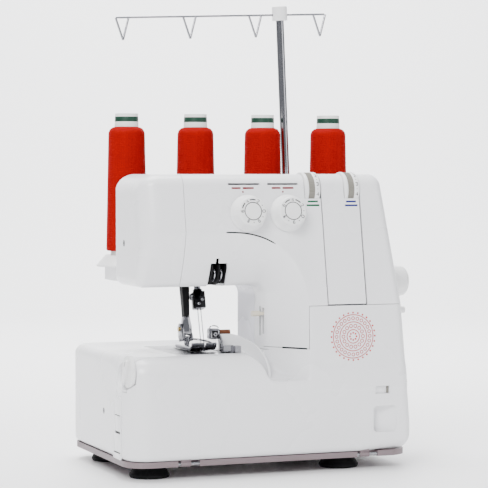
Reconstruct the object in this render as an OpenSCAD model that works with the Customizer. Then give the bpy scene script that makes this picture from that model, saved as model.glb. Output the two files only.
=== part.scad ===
// Four-thread overlock sewing machine (serger): white moulded casings round a cast frame,
// thread stand with four cones behind, swing-down looper cover in front.
// Millimetres, +Z up, +X to the operator's right, +Y to the back. The origin is at table
// level under the middle of the whole machine. Inside the modules places are measured from
// the front-left corner of the base (x right, y back, z up) and moved by in_frame().

/* [Base] */
// Width of the base
base_w = 295; // [292:1:298]
// Depth of the base
base_d = 198; // [196:1:202]
// Height of the bed above the table
bed_h = 117; // [116:0.5:118]
// Corner radius of the base in plan
base_r = 24; // [20:1:26]
// Wall thickness of the moulded casings
wall = 2.5; // [2:0.1:2.8]
// Height of the rubber feet
foot_h = 12.5; // [12:0.5:13]

/* [Arm and head] */
// Height of the top of the machine
body_h = 290; // [288:1:292]
// Height of the underside of the arm
arm_z = 181.5; // [180:0.5:183]
// Left end of the head
head_x = 19; // [17:1:21]
// Joint between the face cover and the front cover
face_seam_x = 62; // [60:1:64]
// Left wall of the pillar
pillar_x = 153; // [152:1:154]
// Back of the arm
arm_back = 116; // [115:1:117]
// Back of the pillar
pillar_back = 120; // [119:1:121]
// Tilt of the front panel
fascia_tilt = 10; // [9:0.5:11]
// Height of the joint between front cover and looper cover
seam_z = 162; // [161:0.5:163]
// Height of the crease where the arm's face turns under
crease_z = 234; // [232:1:236]

/* [Needle and presser] */
// Needle position across the bed
needle_x = 96.5; // [96:0.5:97]
// Needle position at bed height, from the front
needle_y = 62; // [61:0.5:63]
// Forward lean of the needle bar
needle_lean = 16; // [15:0.5:17]
// Forward lean of the presser bar
presser_lean = 8; // [7:0.5:9]
// Presser bar position across the bed
presser_x = 84.5; // [84:0.5:85]

/* [Dials] */
// Left needle tension dial, position across
dial_x = 126; // [125:0.5:127]
// Distance between the two needle tension dials
dial_pitch = 41.5; // [41:0.5:42]
// Height of the tension dials
dial_z = 252; // [251:1:253]
// Radius of a tension dial at its foot
dial_r = 18; // [17:0.5:18]
// Radius of a looper tension wheel
wheel_r = 17.5; // [17:0.5:18]
// Left edge of the first looper tension wheel
wheel_x = 188; // [187.5:0.5:188.5]
// Distance between the two looper tension wheels
wheel_pitch = 42; // [41.5:0.5:42.5]

/* [Drive] */
// Height of the main shaft
shaft_z = 180; // [179:1:181]
// Main shaft position from the front
shaft_y = 85; // [84:1:86]
// Radius of the handwheel's rim
handwheel_r = 30; // [28:1:32]
// Running clearance round shafts and pins
run = 0.05; // [0.03:0.01:0.08]

/* [Thread stand] */
// Distance between the thread cones
cone_pitch = 74.67; // [74:0.01:75]
// First cone, position across
cone_x = 53.5; // [53:0.5:54]
// Line of the cones from the front
cone_y = 172; // [171:1:173]
// Height of the wound part of a cone
cone_h = 128; // [120:1:130]
// Radius of the conical stand under each cone
saucer_r = 31; // [29:1:31]
// Sideways lean of the telescopic pole
pole_lean = 2.4; // [1.5:0.1:2.6]
// Length of the pole above its socket
pole_len = 272; // [268:1:274]

/* [Hidden] */
$fn = 48;

// The whole machine reaches from the base's left side to the end of the handwheel, and
// from the base's front to the back of the conical stands.
reach_x = 326;
reach_y = cone_y + saucer_r;
gap = 0.4;                     // joint between neighbouring casings
skirt_z = 18.4;                // lower edge of the casings
tray_front_y = 3.2;
foot_x = [31.6, 229.6];
foot_y = [35, 158];
fascia_x = 184;                // left edge of the upright front panel
ledge_z = 118;                 // ledge at the foot of the pillar
scoop_z = 91;                  // front lip of the scooped hollow
scoop_y = 46;                  // depth of the scooped hollow
arch_c = [105, 150];           // centre of the arch over the throat, in x and z
arch_rx = 80;
arch_rz = 84;
arch_n = 2.4;
undercut_y = 35;               // front edge of the arm's underside
part_y = 68;                   // joint between front and rear cover
plate_x0 = 57;
plate_x1 = 119;
plate_y0 = 25;
plate_y1 = 129;
dial_xs = [dial_x, dial_x + dial_pitch];
wheel_w = 15;
wheel_1 = wheel_x + wheel_w;   // right-hand faces of the two looper wheels
wheel_2 = wheel_1 + wheel_pitch;
wheel_c = [36.5, 274.5];       // axis of the looper wheels, in y and z
wheel_slot_z = 263.5;          // foot of the slots that the looper wheels stand in
looper_disc_r = 10;            // tension discs between the looper wheels
axle_r = 2.95;
pole_x = 239;
pole_y = 186;
pole_z = 190;                  // bottom of the pole's lean, inside the tray
tray_z0 = 182;
tray_z1 = 196;
cover_pin = [5.2, 15];         // hinge of the looper cover, in y and z
motor_c = [100, 62];           // motor axis, in y and z
lower_looper_c = [132, 60];    // rocking axes of the loopers, in x and z
upper_looper_c = [92, 58];
side_dial = [19, 103];         // stitch dial on the left side, in y and z
side_dial_r = 16;
power_switch_c = [120, 60];    // on the right side, in y and z
thumb_lo = [251, 36];          // thumb recess of the looper cover, in x and z
thumb_hi = [278, 63];
latch_lo = [254, 74.5];        // blind latch window of the looper cover, in x and z
latch_hi = [269, 82];
face_screw = [74, 223];        // screw in the head's end, in y and z
side_screw = [80, 60];         // screw in the base's left side, in y and z
rear_screws = [165, 262];
screw_r = 3;
button_c = [47, 153];          // length set button, in y and z

// Plan line of the sweep from the pillar's inner wall to the front panel
function sweep_y(x) = x < pillar_x ? scoop_y : scoop_y * (fascia_x - x) / (fascia_x - pillar_x);

function arc(c, r, a0, a1, n = 6) =
    [for (i = [0:n]) let (a = a0 + (a1 - a0) * i / n) c + r * [cos(a), sin(a)]];
function round_rect(x0, y0, x1, y1, r, n = 8) = concat(
    arc([x1 - r, y0 + r], r, -90, 0, n), arc([x1 - r, y1 - r], r, 0, 90, n),
    arc([x0 + r, y1 - r], r, 90, 180, n), arc([x0 + r, y0 + r], r, 180, 270, n));
// Front surface of the tilted panel, and the right-hand side of the machine
function fascia_y(z) = 2 + (z - seam_z) * tan(fascia_tilt);
function right_x(z) = z < 45 ? base_w : z < seam_z ? base_w - 9 * (z - 45) / (seam_z - 45)
    : base_w - 9 - 14 * (z - seam_z) / (284 - seam_z);
// Point on the needle bar's and presser bar's centre lines at height z
function needle_p(z) = [needle_x, needle_y + (z - bed_h) * tan(needle_lean), z];
function presser_p(z) = [presser_x, 75 + (z - bed_h) * tan(presser_lean), z];

module in_frame() translate([-reach_x / 2, -reach_y / 2, 0]) children();
module along_x(x0, x1) translate([x0, 0, 0]) rotate([90, 0, 90]) linear_extrude(x1 - x0) children();
module along_y(y0, y1) translate([0, y1, 0]) rotate([90, 0, 0]) linear_extrude(y1 - y0) children();
module along_z(z0, z1) translate([0, 0, z0]) linear_extrude(z1 - z0) children();
module rod_x(x0, x1, c, r) translate([x0, c[0], c[1]]) rotate([0, 90, 0]) cylinder(r = r, h = x1 - x0);
module rod_y(y0, y1, c, r) translate([c[0], y1, c[1]]) rotate([90, 0, 0]) cylinder(r = r, h = y1 - y0);
module block(a, b) translate(a) cube(b - a);
// Turns the Z axis onto the needle bar's and the presser bar's line, with Z = 0 at height z
module on_needle(z) translate(needle_p(z)) rotate([-needle_lean, 0, 0]) children();
module on_presser(z) translate(presser_p(z)) rotate([-presser_lean, 0, 0]) children();
// Places children on the tilted panel with +Z pointing out of it
module on_fascia(x, z) translate([x, fascia_y(z), z]) rotate([90 - fascia_tilt, 0, 0]) children();
module on_pole() translate([pole_x, pole_y, pole_z]) rotate([0, -pole_lean, 0]) children();

// ---- casings ----

// Solid outline of the base: rounded in plan, with a rounded top edge; g insets every side
module base_block(g, z0) {
    top = bed_h - g;
    r = 9 - g;
    intersection() {
        along_z(z0, top) polygon(round_rect(g, g, base_w - g, base_d - g, base_r - g));
        along_x(0, base_w) polygon(concat([[g, z0]], [[base_d - g, z0]],
            arc([base_d - g - r, top - r], r, 0, 90), arc([g + r, top - r], r, 90, 180)));
        along_y(0, base_d) polygon(concat([[g, z0], [base_w - g, z0], [base_w - g, 45]],
            arc([right_x(bed_h) - g - r, top - r], r, 0, 90), arc([g + r, top - r], r, 90, 180)));
    }
}

// Rounded top edge of the tilted panel, g inside the surface
function fascia_top(g, r = 12) = let (zc = body_h - g - r, t = fascia_tilt)
    arc([fascia_y(zc + r * sin(t)) + g / cos(t) + r * cos(t), zc], r, 90, 180 - t);

// Side outline of the tilted front panel with its back, g inside the surface
module panel_side(g, z0) polygon(concat(
    [[pillar_back - g, z0]], arc([pillar_back - g - 10, body_h - g - 10], 10, 0, 90),
    fascia_top(g), [[fascia_y(z0) + g / cos(fascia_tilt), z0]]));

// Side outline of the arm: its back, and its underside with the slope up to the crease,
// run on through the front panel
module arm_side(g) {
    foot = [undercut_y + g, arm_z + g + 1];
    crease = [fascia_y(crease_z) + g / cos(fascia_tilt), crease_z];
    polygon(concat(
        [[arm_back - g - 6, arm_z + g], [arm_back - g, arm_z + g + 6]],
        arc([arm_back - g - 16, body_h - g - 16], 16, 0, 90),
        [[-5, body_h - g], foot + (crease - foot) * (foot[0] + 5) / (foot[0] - crease[0]),
        foot, [foot[0] + 3, arm_z + g]]));
}

// Front outline of arm, head and pillar
module body_front(g) polygon(concat(
    [[right_x(bed_h) - g, bed_h], [right_x(seam_z) - g, seam_z]],
    arc([right_x(278) - g - 13, body_h - g - 13], 13, 0, 90),
    arc([head_x + g + 22, body_h - g - 22], 22, 90, 180),
    arc([head_x + g + 10, arm_z + g + 10], 10, 180, 270),
    arc([pillar_x + g - 12, arm_z + g - 12], 12, 90, 0),
    [[pillar_x + g, bed_h]]));

// Plan of the pillar, with the oblique sweep from its inner wall to the front panel
module pillar_plan(g) polygon([[pillar_x + g, 46 + g], [fascia_x + g, 0], [300, 0],
    [300, pillar_back - g], [pillar_x + g, pillar_back - g]]);

// Plan of the head, rounded at its left end
module head_plan(g) polygon(concat(
    [[300, -20], [300, 130]], arc([head_x + g + 28, arm_back - g - 28], 28, 90, 180),
    arc([head_x + g + 14, 14 + g + 12], 14, 180, 250)));

// Everything above the arch line and to the right of it
module outside_arch(g) difference() {
    block([head_x, -5, bed_h - 20], [300, 130, 300]);
    along_y(-10, 140) polygon(concat([[-5, 0], [-5, crease_z - g + 0.01]],
        [for (i = [0:10]) let (a = 90 - 90 * i / 10) [
            arch_c[0] + (arch_rx + g) * pow(sin(90 - a), 2 / arch_n),
            arch_c[1] + (arch_rz - g) * pow(sin(a), 2 / arch_n)]],
        [[arch_c[0] + arch_rx + g, 0]]));
}

// Solid outline of the upper body; g insets it
module body_block(g) intersection() {
    along_y(-5, 130) body_front(g);
    along_z(bed_h - 1, body_h) head_plan(g);
    along_x(head_x, 300) panel_side(g, bed_h - 1);
    union() {
        // Front panel above the arch, the arm, and the pillar
        intersection() {
            outside_arch(g);
            union() {
                block([0, -5, seam_z], [300, 80, 300]);
                block([pillar_x + g, -5, seam_z], [300, 130, 300]);
            }
        }
        along_x(head_x - 1, 301) arm_side(g);
        along_z(bed_h + (g > 0 ? -2 : 1), crease_z + 6) pillar_plan(g);
    }
}

module body_shell() difference() {
    body_block(0);
    body_block(wall);
}

// Side outline, at one place across, of the scooped hollow at the foot of the pillar: its
// floor rises in a quarter ellipse from the front lip to the ledge below the sweep
module scoop_side(depth) {
    top = ledge_z - gap;
    drop = top - scoop_z;
    polygon(concat([for (t = [0:15:90]) [depth * sin(t), top - drop * cos(t)]],
        [for (t = [90:-15:0]) [(depth + wall) * sin(t), top - (drop + wall) * cos(t)]]));
}

// Space of the stitch dial's recess, from outside the base to x1
module dial_recess(x1) rod_x(-1, x1, side_dial, side_dial_r + 0.6);

module at_feet() for (x = foot_x, y = foot_y) translate([x, y, 0]) children();

module base_tray() color("lightslategray") in_frame() difference() {
    union() {
        difference() {
            along_z(foot_h, skirt_z - gap) polygon(round_rect(1.5, tray_front_y, base_w - 1.5,
                base_d - 1.5, base_r - 2));
            along_z(foot_h + 3, skirt_z + 1) polygon(round_rect(4, tray_front_y + 8, base_w - 4,
                base_d - 4, base_r - 5));
        }
        // Posts that carry the frame casting
        for (x = [40, 262], y = [50, 176]) translate([x, y, foot_h]) cylinder(r = 7, h = 20 - foot_h);
    }
    // Recesses and bores of the looper cover's hinge
    for (x = [50, 236]) {
        block([x, -1, 0], [x + 22, tray_front_y + 5.2, 20]);
        rod_x(x - 12, x + 34, cover_pin, 1.5 + run);
    }
    at_feet() translate([0, 0, foot_h - 1]) cylinder(r = 2.5, h = 6);
}

module rubber_feet() color("black") in_frame() at_feet() rotate_extrude()
    polygon([[0, 0], [18.5, 0], [19.5, 1.5], [19.5, 3], [14, foot_h], [2.4, foot_h],
        [2.4, foot_h + 4], [0, foot_h + 4]]);

module frame_casting() color("silver") in_frame() difference() {
    union() {
        block([22, 28, 20], [284, 188, 25]);
        // Upright walls with the main shaft's bearings
        block([196, 62.5, 25], [204, 112, 236]);
        block([262, 62.5, 25], [270, 112, 214]);
        // Rear rib of the arm with the head's two lugs
        block([76, 106, 190], [204, 112, 250]);
        for (z = [208, 240]) block([76, 78 + (z - 208) * 0.2, z], [108, 107, z + 8]);
        block([112, 50, 236], [186, 56, 262]);
        block([176, 50, 240], [186, 112, 250]);
        // Posts under the needle plate
        for (y = [28, 112]) block([58, y, 25], [68, y + 12, bed_h - 2]);
        // Bracket of the looper wheels
        block([208, 40, 240], [224, 112, 246]);
        block([208, 34, 246], [212, 50, 280]);
        block([220, 34, 246], [224, 50, 280]);
        block([196, 100, 230], [224, 112, 246]);
        // Bearing of the presser lifter and rail of the feed dogs
        block([165, 94, 142], [196, 106, 158]);
        block([60, 140, 25], [140, 150, 100]);
    }
    rod_x(190, 280, [shaft_y, shaft_z], 5 + run);
    rod_x(255, 280, motor_c, 6);
    on_needle(176) cylinder(r = 3.2 + run, h = 110);
    on_presser(120) cylinder(r = 3.5 + run, h = 160);
    rod_x(160, 190, [100, 150], 3 + run);
    rod_x(200, 230, wheel_c, axle_r);
    for (x = dial_xs) on_fascia(x, dial_z) translate([0, 0, -45]) cylinder(r = 3, h = 20);
}

module bed_cover() color("white") in_frame() difference() {
    base_block(0, skirt_z);
    base_block(wall, 0);
    // The looper cover takes the front
    block([-1, -1, 0], [300, 14, 200]);
    block([-1, -1, 0], [24, 22 + gap, 84 + gap]);
    block([250, -1, 0], [300, 40 + gap, 130]);
    // Pillar, chip guard and needle plate
    block([plate_x1 + gap, -1, 80], [base_w - 12, 47, 130]);
    block([plate_x1, 46, 100], [150, 61.2, 130]);
    block([plate_x1, 61, 110], [129, 69, 130]);
    block([pillar_x + wall, 40, 110], [base_w + 1, pillar_back - wall, 130]);
    block([plate_x0 - gap, plate_y0 - gap, 100], [plate_x1 + gap, plate_y1 + gap, 130]);
    dial_recess(40);
    rod_x(-1, 5, side_screw, screw_r);
    block([-1, 31, 44], [wall + 1, 39, 62]);
    block([base_w - 6, 111, 51], [base_w + 1, 129, 69]);
    block([base_w - 6, 141, 45], [base_w + 1, 171, 67]);
}

module front_cover() color("white") in_frame() difference() {
    intersection() {
        body_shell();
        union() {
            block([face_seam_x + gap, -5, arm_z - 1], [300, part_y, 300]);
            block([fascia_x - 3, -5, seam_z + gap], [300, part_y, 300]);
            block([pillar_x - 1, -5, bed_h], [fascia_x + 2, part_y, 200]);
            block([fascia_x, 40 + gap, bed_h + gap], [300, part_y, 200]);
        }
    }
    // The looper cover's upright part
    block([fascia_x - 0.01, -5, bed_h - 1], [300, 40 + gap, seam_z + gap]);
    // Openings: needle thread entries, dials, looper wheels, thread panel, take-up
    for (x = [110.5, 148.5]) block([x, 10, 279.5], [x + 30, 30, 281.5]);
    for (x = dial_xs) on_fascia(x, dial_z) translate([0, 0, -8]) cylinder(r = 5, h = 12);
    for (dx = [0, wheel_pitch]) block([wheel_x - 1 + dx, 0, wheel_slot_z], [wheel_1 + 1 + dx, 63, 300]);
    along_y(-5, 60) polygon([[wheel_1 + 1, seam_z], [wheel_1 + 1, 300], [wheel_x + wheel_pitch - 1, 300],
        [wheel_2 + 1, wheel_slot_z], [wheel_2 + 1, seam_z]]);
    block([89, 20, arm_z - 1], [110, 45, 206]);
    block([pillar_x - 2, 43.5, 131], [163, 52, 158]);
    rod_x(270, 300, button_c, 3.6);
    // Openings in the underside for needle bar, presser bar and clamp
    block([77, 40, arm_z - 2], [104, 100, arm_z + 6]);
}

module rear_cover() color("white") in_frame() difference() {
    intersection() {
        body_shell();
        block([face_seam_x + gap, part_y + gap, bed_h + gap], [300, 130, 300]);
    }
    block([77, 40, arm_z - 2], [104, 100, arm_z + 6]);
    rod_x(270, 300, [shaft_y, shaft_z], 11);
    for (x = rear_screws) rod_y(pillar_back - 5, pillar_back + 1, [x, 150], screw_r);
}

module face_cover() color("white") in_frame() difference() {
    intersection() {
        body_shell();
        block([0, -5, arm_z - 1], [face_seam_x, 130, 300]);
    }
    rod_x(head_x - 1, head_x + 5, face_screw, screw_r);
}

module thread_path_panel() color("white") in_frame() intersection() {
    body_shell();
    along_y(-5, 60) polygon([[wheel_1 + 2.2, seam_z + 1], [wheel_1 + 2.2, 300],
        [wheel_x + wheel_pitch - 2, 300], [wheel_x + wheel_pitch - 2, wheel_slot_z - 1],
        [wheel_2 - 0.2, wheel_slot_z - 1], [wheel_2 - 0.2, seam_z + 1]]);
}

// Curved guard that leads trimmings to the right of the knives: a bent wall whose outer
// plan is an ellipse, cut along a top edge that falls to the front
module guard_plan(out) polygon(concat(
    [for (a = [0:10:90]) [115, 14.5 - (2.5 - out) / 5] + [(31.5 + out) * cos(a), (43.5 + out) * sin(a)]],
    [[100, 58 + out], [100, 14.5]]));

module chip_guard() color("white") in_frame() intersection() {
    along_z(92, 134) difference() {
        guard_plan(2.5);
        guard_plan(0);
    }
    along_x(plate_x1 + 0.6, 150) polygon(concat([[10, 92], [40, 92], [40, 108], [70, 108], [70, 133]],
        [for (t = [90:-15:0]) [14 + 42 * sin(t), 92 + 41 * pow(sin(t), 0.5)]]));
}

module cover_screws() color("dimgray") in_frame() {
    rod_x(head_x, head_x + wall, face_screw, screw_r);
    rod_x(0, wall, side_screw, screw_r);
    for (x = rear_screws) rod_y(pillar_back - wall, pillar_back, [x, 150], screw_r);
}

// Upright right-hand part of the looper cover
module cover_panel(g) intersection() {
    along_x(fascia_x + g, 300) polygon([[fascia_y(seam_z) + g - 0.01, seam_z - g], [40 + g, seam_z - g],
        [40 + g, 80 - g], [g, 80 - g], [g, bed_h]]);
    along_y(-1, 60) polygon([[fascia_x, 70], [right_x(70) - g, 70], [right_x(seam_z) - g, seam_z],
        [fascia_x, seam_z]]);
    along_z(60, 170) polygon(concat(arc([base_w - g - base_r, base_r + g], base_r, -90, 0), [[base_w, 60],
        [fascia_x, 60], [fascia_x, 0]]));
}

module window(low, high) translate(low) square(high - low);

module looper_cover() color("white") in_frame() {
    difference() {
        intersection() {
            union() {
                base_block(0, skirt_z);
                cover_panel(0);
            }
            union() {
                block([-1, -1, 0], [300, 14 - gap, 200]);
                block([-1, -1, 0], [24 - gap, 22, 84]);
                block([250, -1, 0], [300, 40, 200]);
                block([fascia_x, -1, 100], [300, 40, 200]);
            }
        }
        base_block(wall, 0);
        cover_panel(wall);
        // Scooped hollow below the arch
        along_y(-1, 60) polygon([[119, bed_h + 1], [119, bed_h], [128, 111], [136, 101], [142, scoop_z],
            [fascia_x, scoop_z], [fascia_x, bed_h + 60]]);
        dial_recess(12);
        // Thumb recess and latch window
        along_y(-1, 3) window(thumb_lo, thumb_hi);
        along_y(-1, 3) window(latch_lo, latch_hi);
    }
    // Back of the latch window
    along_y(wall - 0.2, wall + 1.5) window(latch_lo - [2, 2], latch_hi + [2, 2]);
    // Floor of the hollow, in strips whose depth follows the sweep
    for (i = [0:6]) let (x0 = 150.5 + i * 4.5, depth = sweep_y(x0 + 4.5) - 1)
        if (depth > 1) along_x(x0, x0 + 4.5) scoop_side(depth);
    // Pocket behind the thumb recess
    difference() {
        along_y(1, 12) window(thumb_lo - [2, 2], thumb_hi + [2, 2]);
        along_y(-1, 10) window(thumb_lo, thumb_hi);
    }
    // Hinge lugs
    for (x = [53, 239]) difference() {
        union() {
            rod_x(x, x + 10, cover_pin, 2.7);
            block([x, cover_pin[0] - 2.2, cover_pin[1]], [x + 10, cover_pin[0] + 1, skirt_z + 8]);
            block([x, 1, skirt_z + 2], [x + 10, 4, skirt_z + 8]);
        }
        rod_x(x - 1, x + 11, cover_pin, 1.5 + run);
    }
}

module cover_hinge_pins() color("silver") in_frame()
    for (x = [50, 236]) rod_x(x - 9, x + 26, cover_pin, 1.5);

// ---- sewing parts ----

module needle_plate() color("lightgray") in_frame() difference() {
    along_z(bed_h - 2, bed_h) polygon(round_rect(plate_x0, plate_y0, plate_x1, plate_y1, 2, 3));
    // Needle slot, feed dog slots, chaining-off edge and screw hole
    block([needle_x - 5, needle_y - 3, 100], [needle_x + 5, needle_y + 4, 130]);
    for (x = [78, 86]) block([x, 43, 100], [x + 4, 101, 130]);
    for (x = [94, 102]) block([x, 69, 100], [x + 4, 101, 130]);
    block([106, 30, 100], [130, 60, 130]);
    block([112.4, 20, 100], [130, 45, 130]);
    translate([66, 36, 100]) cylinder(r = 2, h = 30);
}

module main_shaft() color("silver") in_frame() {
    rod_x(186, 312, [shaft_y, shaft_z], 5);
    // Crank disc with its pin, and the looper drive eccentric
    rod_x(186, 192, [shaft_y, shaft_z], 16);
    rod_x(178, 186.5, [shaft_y + 10, shaft_z], 3);
    rod_x(222, 232, [shaft_y + 4, shaft_z], 14);
}

module shaft_pulley() color("dimgray") in_frame() difference() {
    union() {
        rod_x(272, 277, [shaft_y, shaft_z], 21);
        rod_x(271, 272.5, [shaft_y, shaft_z], 23);
        rod_x(276.5, 277.8, [shaft_y, shaft_z], 23);
    }
    rod_x(260, 290, [shaft_y, shaft_z], 5);
}

module handwheel() color("white") in_frame() difference() {
    translate([0, shaft_y, shaft_z]) rotate([0, 90, 0]) rotate_extrude() polygon(concat(
        [[4.9, 288.5], [handwheel_r - 3, 288.5], [handwheel_r, 290.5], [handwheel_r, 299],
        [handwheel_r - 3, 302], [17, 304], [15.5, 309]], arc([9.5, reach_x - 6], 6, 0, 90, 6),
        [[0, reach_x], [0, 300], [4.9, 300]]));
    rod_x(280, 312.1, [shaft_y, shaft_z], 5);
    // Finger grooves round the rim
    for (a = [0:15:345]) translate([0, shaft_y, shaft_z]) rotate([a, 0, 0])
        translate([285, 0, handwheel_r + 1.2]) rotate([0, 90, 0]) cylinder(r = 2.2, h = 20);
}

module drive_belt() color("black") in_frame() along_x(272.8, 276.2) difference() {
    hull() {
        translate([shaft_y, shaft_z]) circle(r = 22.9);
        translate(motor_c) circle(r = 10.9);
    }
    hull() {
        translate([shaft_y, shaft_z]) circle(r = 21.35);
        translate(motor_c) circle(r = 9.35);
    }
}

module motor() color("gray") in_frame() {
    rod_x(206, 262, motor_c, 29);
    for (y = [-22, 22]) rod_x(258, 262, motor_c + [y, 0], 8);
    block([214, motor_c[0] - 14, 25], [254, motor_c[0] + 14, 36]);
}

module motor_pulley() color("dimgray") in_frame() {
    rod_x(262.3, 280, motor_c, 3);
    rod_x(272, 277, motor_c, 9);
    rod_x(271, 272.3, motor_c, 11.5);
    rod_x(276.7, 278, motor_c, 11.5);
}

module needle_bar() color("silver") in_frame() on_needle(172) cylinder(r = 3.2, h = 82);

module needle_clamp() color("black") in_frame() difference() {
    on_needle(157) translate([-5.5, -6, 0]) cube([11, 12, 20]);
    on_needle(172) translate([0, 0, -0.01]) cylinder(r = 3.2, h = 40);
    for (x = [-1.6, 1.6]) on_needle(156) translate([x, 0, 0]) cylinder(r = 0.8, h = 10);
}

module clamp_screws() color("silver") in_frame() {
    for (p = [[-1.6, 4], [1.6, 7.5]]) on_needle(157) translate([p[0], -7.4, p[1]]) rotate([-90, 0, 0])
        cylinder(r = 1.5, h = 1.4);
    on_needle(157) translate([-8, 0, 12]) rotate([0, 90, 0]) cylinder(r = 3, h = 2.5, $fn = 6);
}

module needles() color("silver") in_frame() for (x = [-1.6, 1.6]) on_needle(156) {
    translate([x, 0, 0]) cylinder(r = 0.79, h = 9);
    translate([x, 0, -40]) cylinder(r = 0.5, h = 40);
    translate([x, 0, -45]) cylinder(r1 = 0.05, r2 = 0.5, h = 5);
}

module presser_bar() color("dimgray") in_frame() {
    on_presser(137) cylinder(r = 3.5, h = 118);
    // Collar that the lifter raises
    on_presser(218) cylinder(r = 6.5, h = 6);
}

// Coil spring between the presser bar's collar and the upper lug
module presser_spring() color("silver") in_frame() on_presser(224.4) coil(5, 0.7, 13.4, 6);

module coil(r, wire_r, length, turns, sides = 6, steps = 14) {
    rings = turns * steps;
    points = [for (i = [0:rings], j = [0:sides - 1])
        let (a = 360 * i / steps, b = 360 * j / sides, q = r + wire_r * cos(b))
        [q * cos(a), q * sin(a), wire_r + length * i / rings + wire_r * sin(b)]];
    faces = concat([[for (j = [0:sides - 1]) j]],
        [for (i = [0:rings - 1], j = [0:sides - 1]) let (k = (j + 1) % sides)
            [i * sides + j, (i + 1) * sides + j, (i + 1) * sides + k, i * sides + k]],
        [[for (j = [sides - 1:-1:0]) rings * sides + j]]);
    polyhedron(points, faces);
}

module foot_shank() color("silver") in_frame() difference() {
    on_presser(125) union() {
        translate([-4.5, -5, 0]) cube([9, 10, 22]);
        translate([-6, -7, 3]) cube([6, 14, 12]);
    }
    on_presser(137) cylinder(r = 3.5, h = 100);
    on_presser(128) translate([-10, 0, 0]) rotate([0, 90, 0]) cylinder(r = 1.2 + run, h = 30);
    on_presser(125) translate([-2.5, -9, -1]) cube([5, 18, 9]);
}

module presser_foot() color("lightgray") in_frame() {
    difference() {
        union() {
            along_x(presser_x - 7, needle_x + 7) polygon([[42, 122.5], [48, 118.2], [88, 118.2], [92, 121],
                [90, 122.2], [52, 122.2], [44, 126]]);
        }
        block([needle_x - 4, 50, 110], [needle_x + 8, 72, 130]);
        block([needle_x + 3, 30, 110], [needle_x + 8, 60, 130]);
    }
    // Ear between the shank's cheeks and its pin
    block([presser_x - 2, presser_p(128)[1] - 3.5, 122], [presser_x + 2, presser_p(128)[1] + 3.5, 130.5]);
    translate([presser_x - 6, presser_p(128)[1], 128]) rotate([0, 90, 0]) cylinder(r = 1.2, h = 12);
}

module foot_lifter() color("ivory") in_frame() {
    rod_x(158, 163, [100, 150], 6);
    rod_x(163, 190, [100, 150], 3);
    block([158, 46, 151], [161, 96, 155]);
    block([149, 46, 151.5], [161, 49, 154.5]);
    translate([142, 47.5, 153]) rotate([0, 90, 0]) cylinder(r = 2.8, h = 8);
}

module feed_dog(x, y0, y1) for (dx = [0, 8]) difference() {
    block([x + dx, y0, 104], [x + dx + 3, y1, bed_h + 0.5]);
    for (y = [y0 + 1.2:2.4:y1 - 1]) translate([x + dx - 1, y, bed_h + 0.9]) rotate([45, 0, 0])
        cube([5, 1.2, 1.2]);
}

module main_feed_dog() color("gray") in_frame() {
    feed_dog(94.5, 74, 96);
    block([94.5, 74, 100], [105.5, 134, 104]);
}

module front_feed_dog() color("gray") in_frame() {
    feed_dog(78.5, 48, 96);
    block([78.5, 48, 98], [89.5, 134, 104]);
}

module looper_arm(c, tip, y) {
    along_y(y, y + 5) difference() {
        union() {
            translate(c) circle(r = 8);
            polygon([c + [-5, 0], c + [5, 0], tip + [4, -4], tip + [-4, -4]]);
        }
        translate(c) circle(r = 3 + run);
    }
}

module lower_looper() color("silver") in_frame() {
    looper_arm(lower_looper_c, [132, 104], 63.2);
    along_y(64, 66.5) polygon(concat([[136, 98], [136, 104]], arc([112, 84], 22, 70, 120, 6),
        arc([112, 84], 20.5, 120, 60, 6)));
}

module upper_looper() color("silver") in_frame() {
    looper_arm(upper_looper_c, [118, 98], 52.5);
    along_y(53.4, 56) polygon([[114, 92], [121, 95], [119, 106], [113, 112], [111.5, 112], [115, 104]]);
}

module upper_knife() color("dimgray") in_frame() {
    block([109, 42, 116.5], [110.8, 51, 130]);
    block([101, 52, 128], [112, 66, 139]);
    block([109, 42, 128], [118, 56, 136]);
    block([114, 44, 98], [118, 49.5, 130]);
}

module lower_knife() color("silver") in_frame() {
    block([111.2, 38, 96], [113, 51, bed_h]);
    block([107, 33, bed_h + 0.4], [117, 40, 124]);
    block([113, 30, 96], [117, 42, bed_h + 1]);
    block([117, 27, 96], [123, 38, 123.5]);
}

module knife_knob() color("peru") in_frame() {
    rod_x(114.5, 125.5, [66, 133.8], 3);
    block([120, 64.8, 108], [123, 67.2, 132]);
}

module takeup_window() color("black") in_frame() difference() {
    intersection() {
        block([89.4, 20, arm_z + 1], [109.6, 44, 205.6]);
        along_x(80, 120) arm_side(0);
    }
    block([91, 15, arm_z], [108, 46, 203.5]);
}

module takeup_lever() color("silver") in_frame() {
    rod_x(96, 104, [64, 206], 5);
    for (x = [95, 102]) along_x(x, x + 1.6) polygon([[64, 203], [64, 208], [44, 200], [36, 198], [34, 193],
        [36, 189], [38, 190], [37, 193], [39, 196], [46, 197]]);
}

module tension_dial(x) on_fascia(x, dial_z) difference() {
    translate([0, 0, 0.5]) rotate_extrude() polygon([[0, 0], [dial_r, 0], [dial_r, 3], [dial_r - 1, 4.5],
        [14, 14.2], [13, 15.2], [0, 15.2]]);
    translate([0, 0, -1]) cylinder(r = 3 + run, h = 11);
}
module needle_dial_left() color("white") in_frame() tension_dial(dial_x);
module needle_dial_right() color("white") in_frame() tension_dial(dial_x + dial_pitch);

// Studs, springs and disc pairs of all four tensions, and the looper wheels' axle
module tension_discs() color("silver") in_frame() {
    for (x = dial_xs) on_fascia(x, dial_z) {
        translate([0, 0, -34]) cylinder(r = 3, h = 43);
        for (z = [-12, -15]) translate([0, 0, z]) cylinder(r = 12, h = 1.2);
        translate([0, 0, -9]) cylinder(r = 4.8, h = 6);
    }
    rod_x(184, 250, wheel_c, axle_r);
    for (x = [214, 217]) rod_x(x, x + 1.2, wheel_c, looper_disc_r);
}

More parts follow.
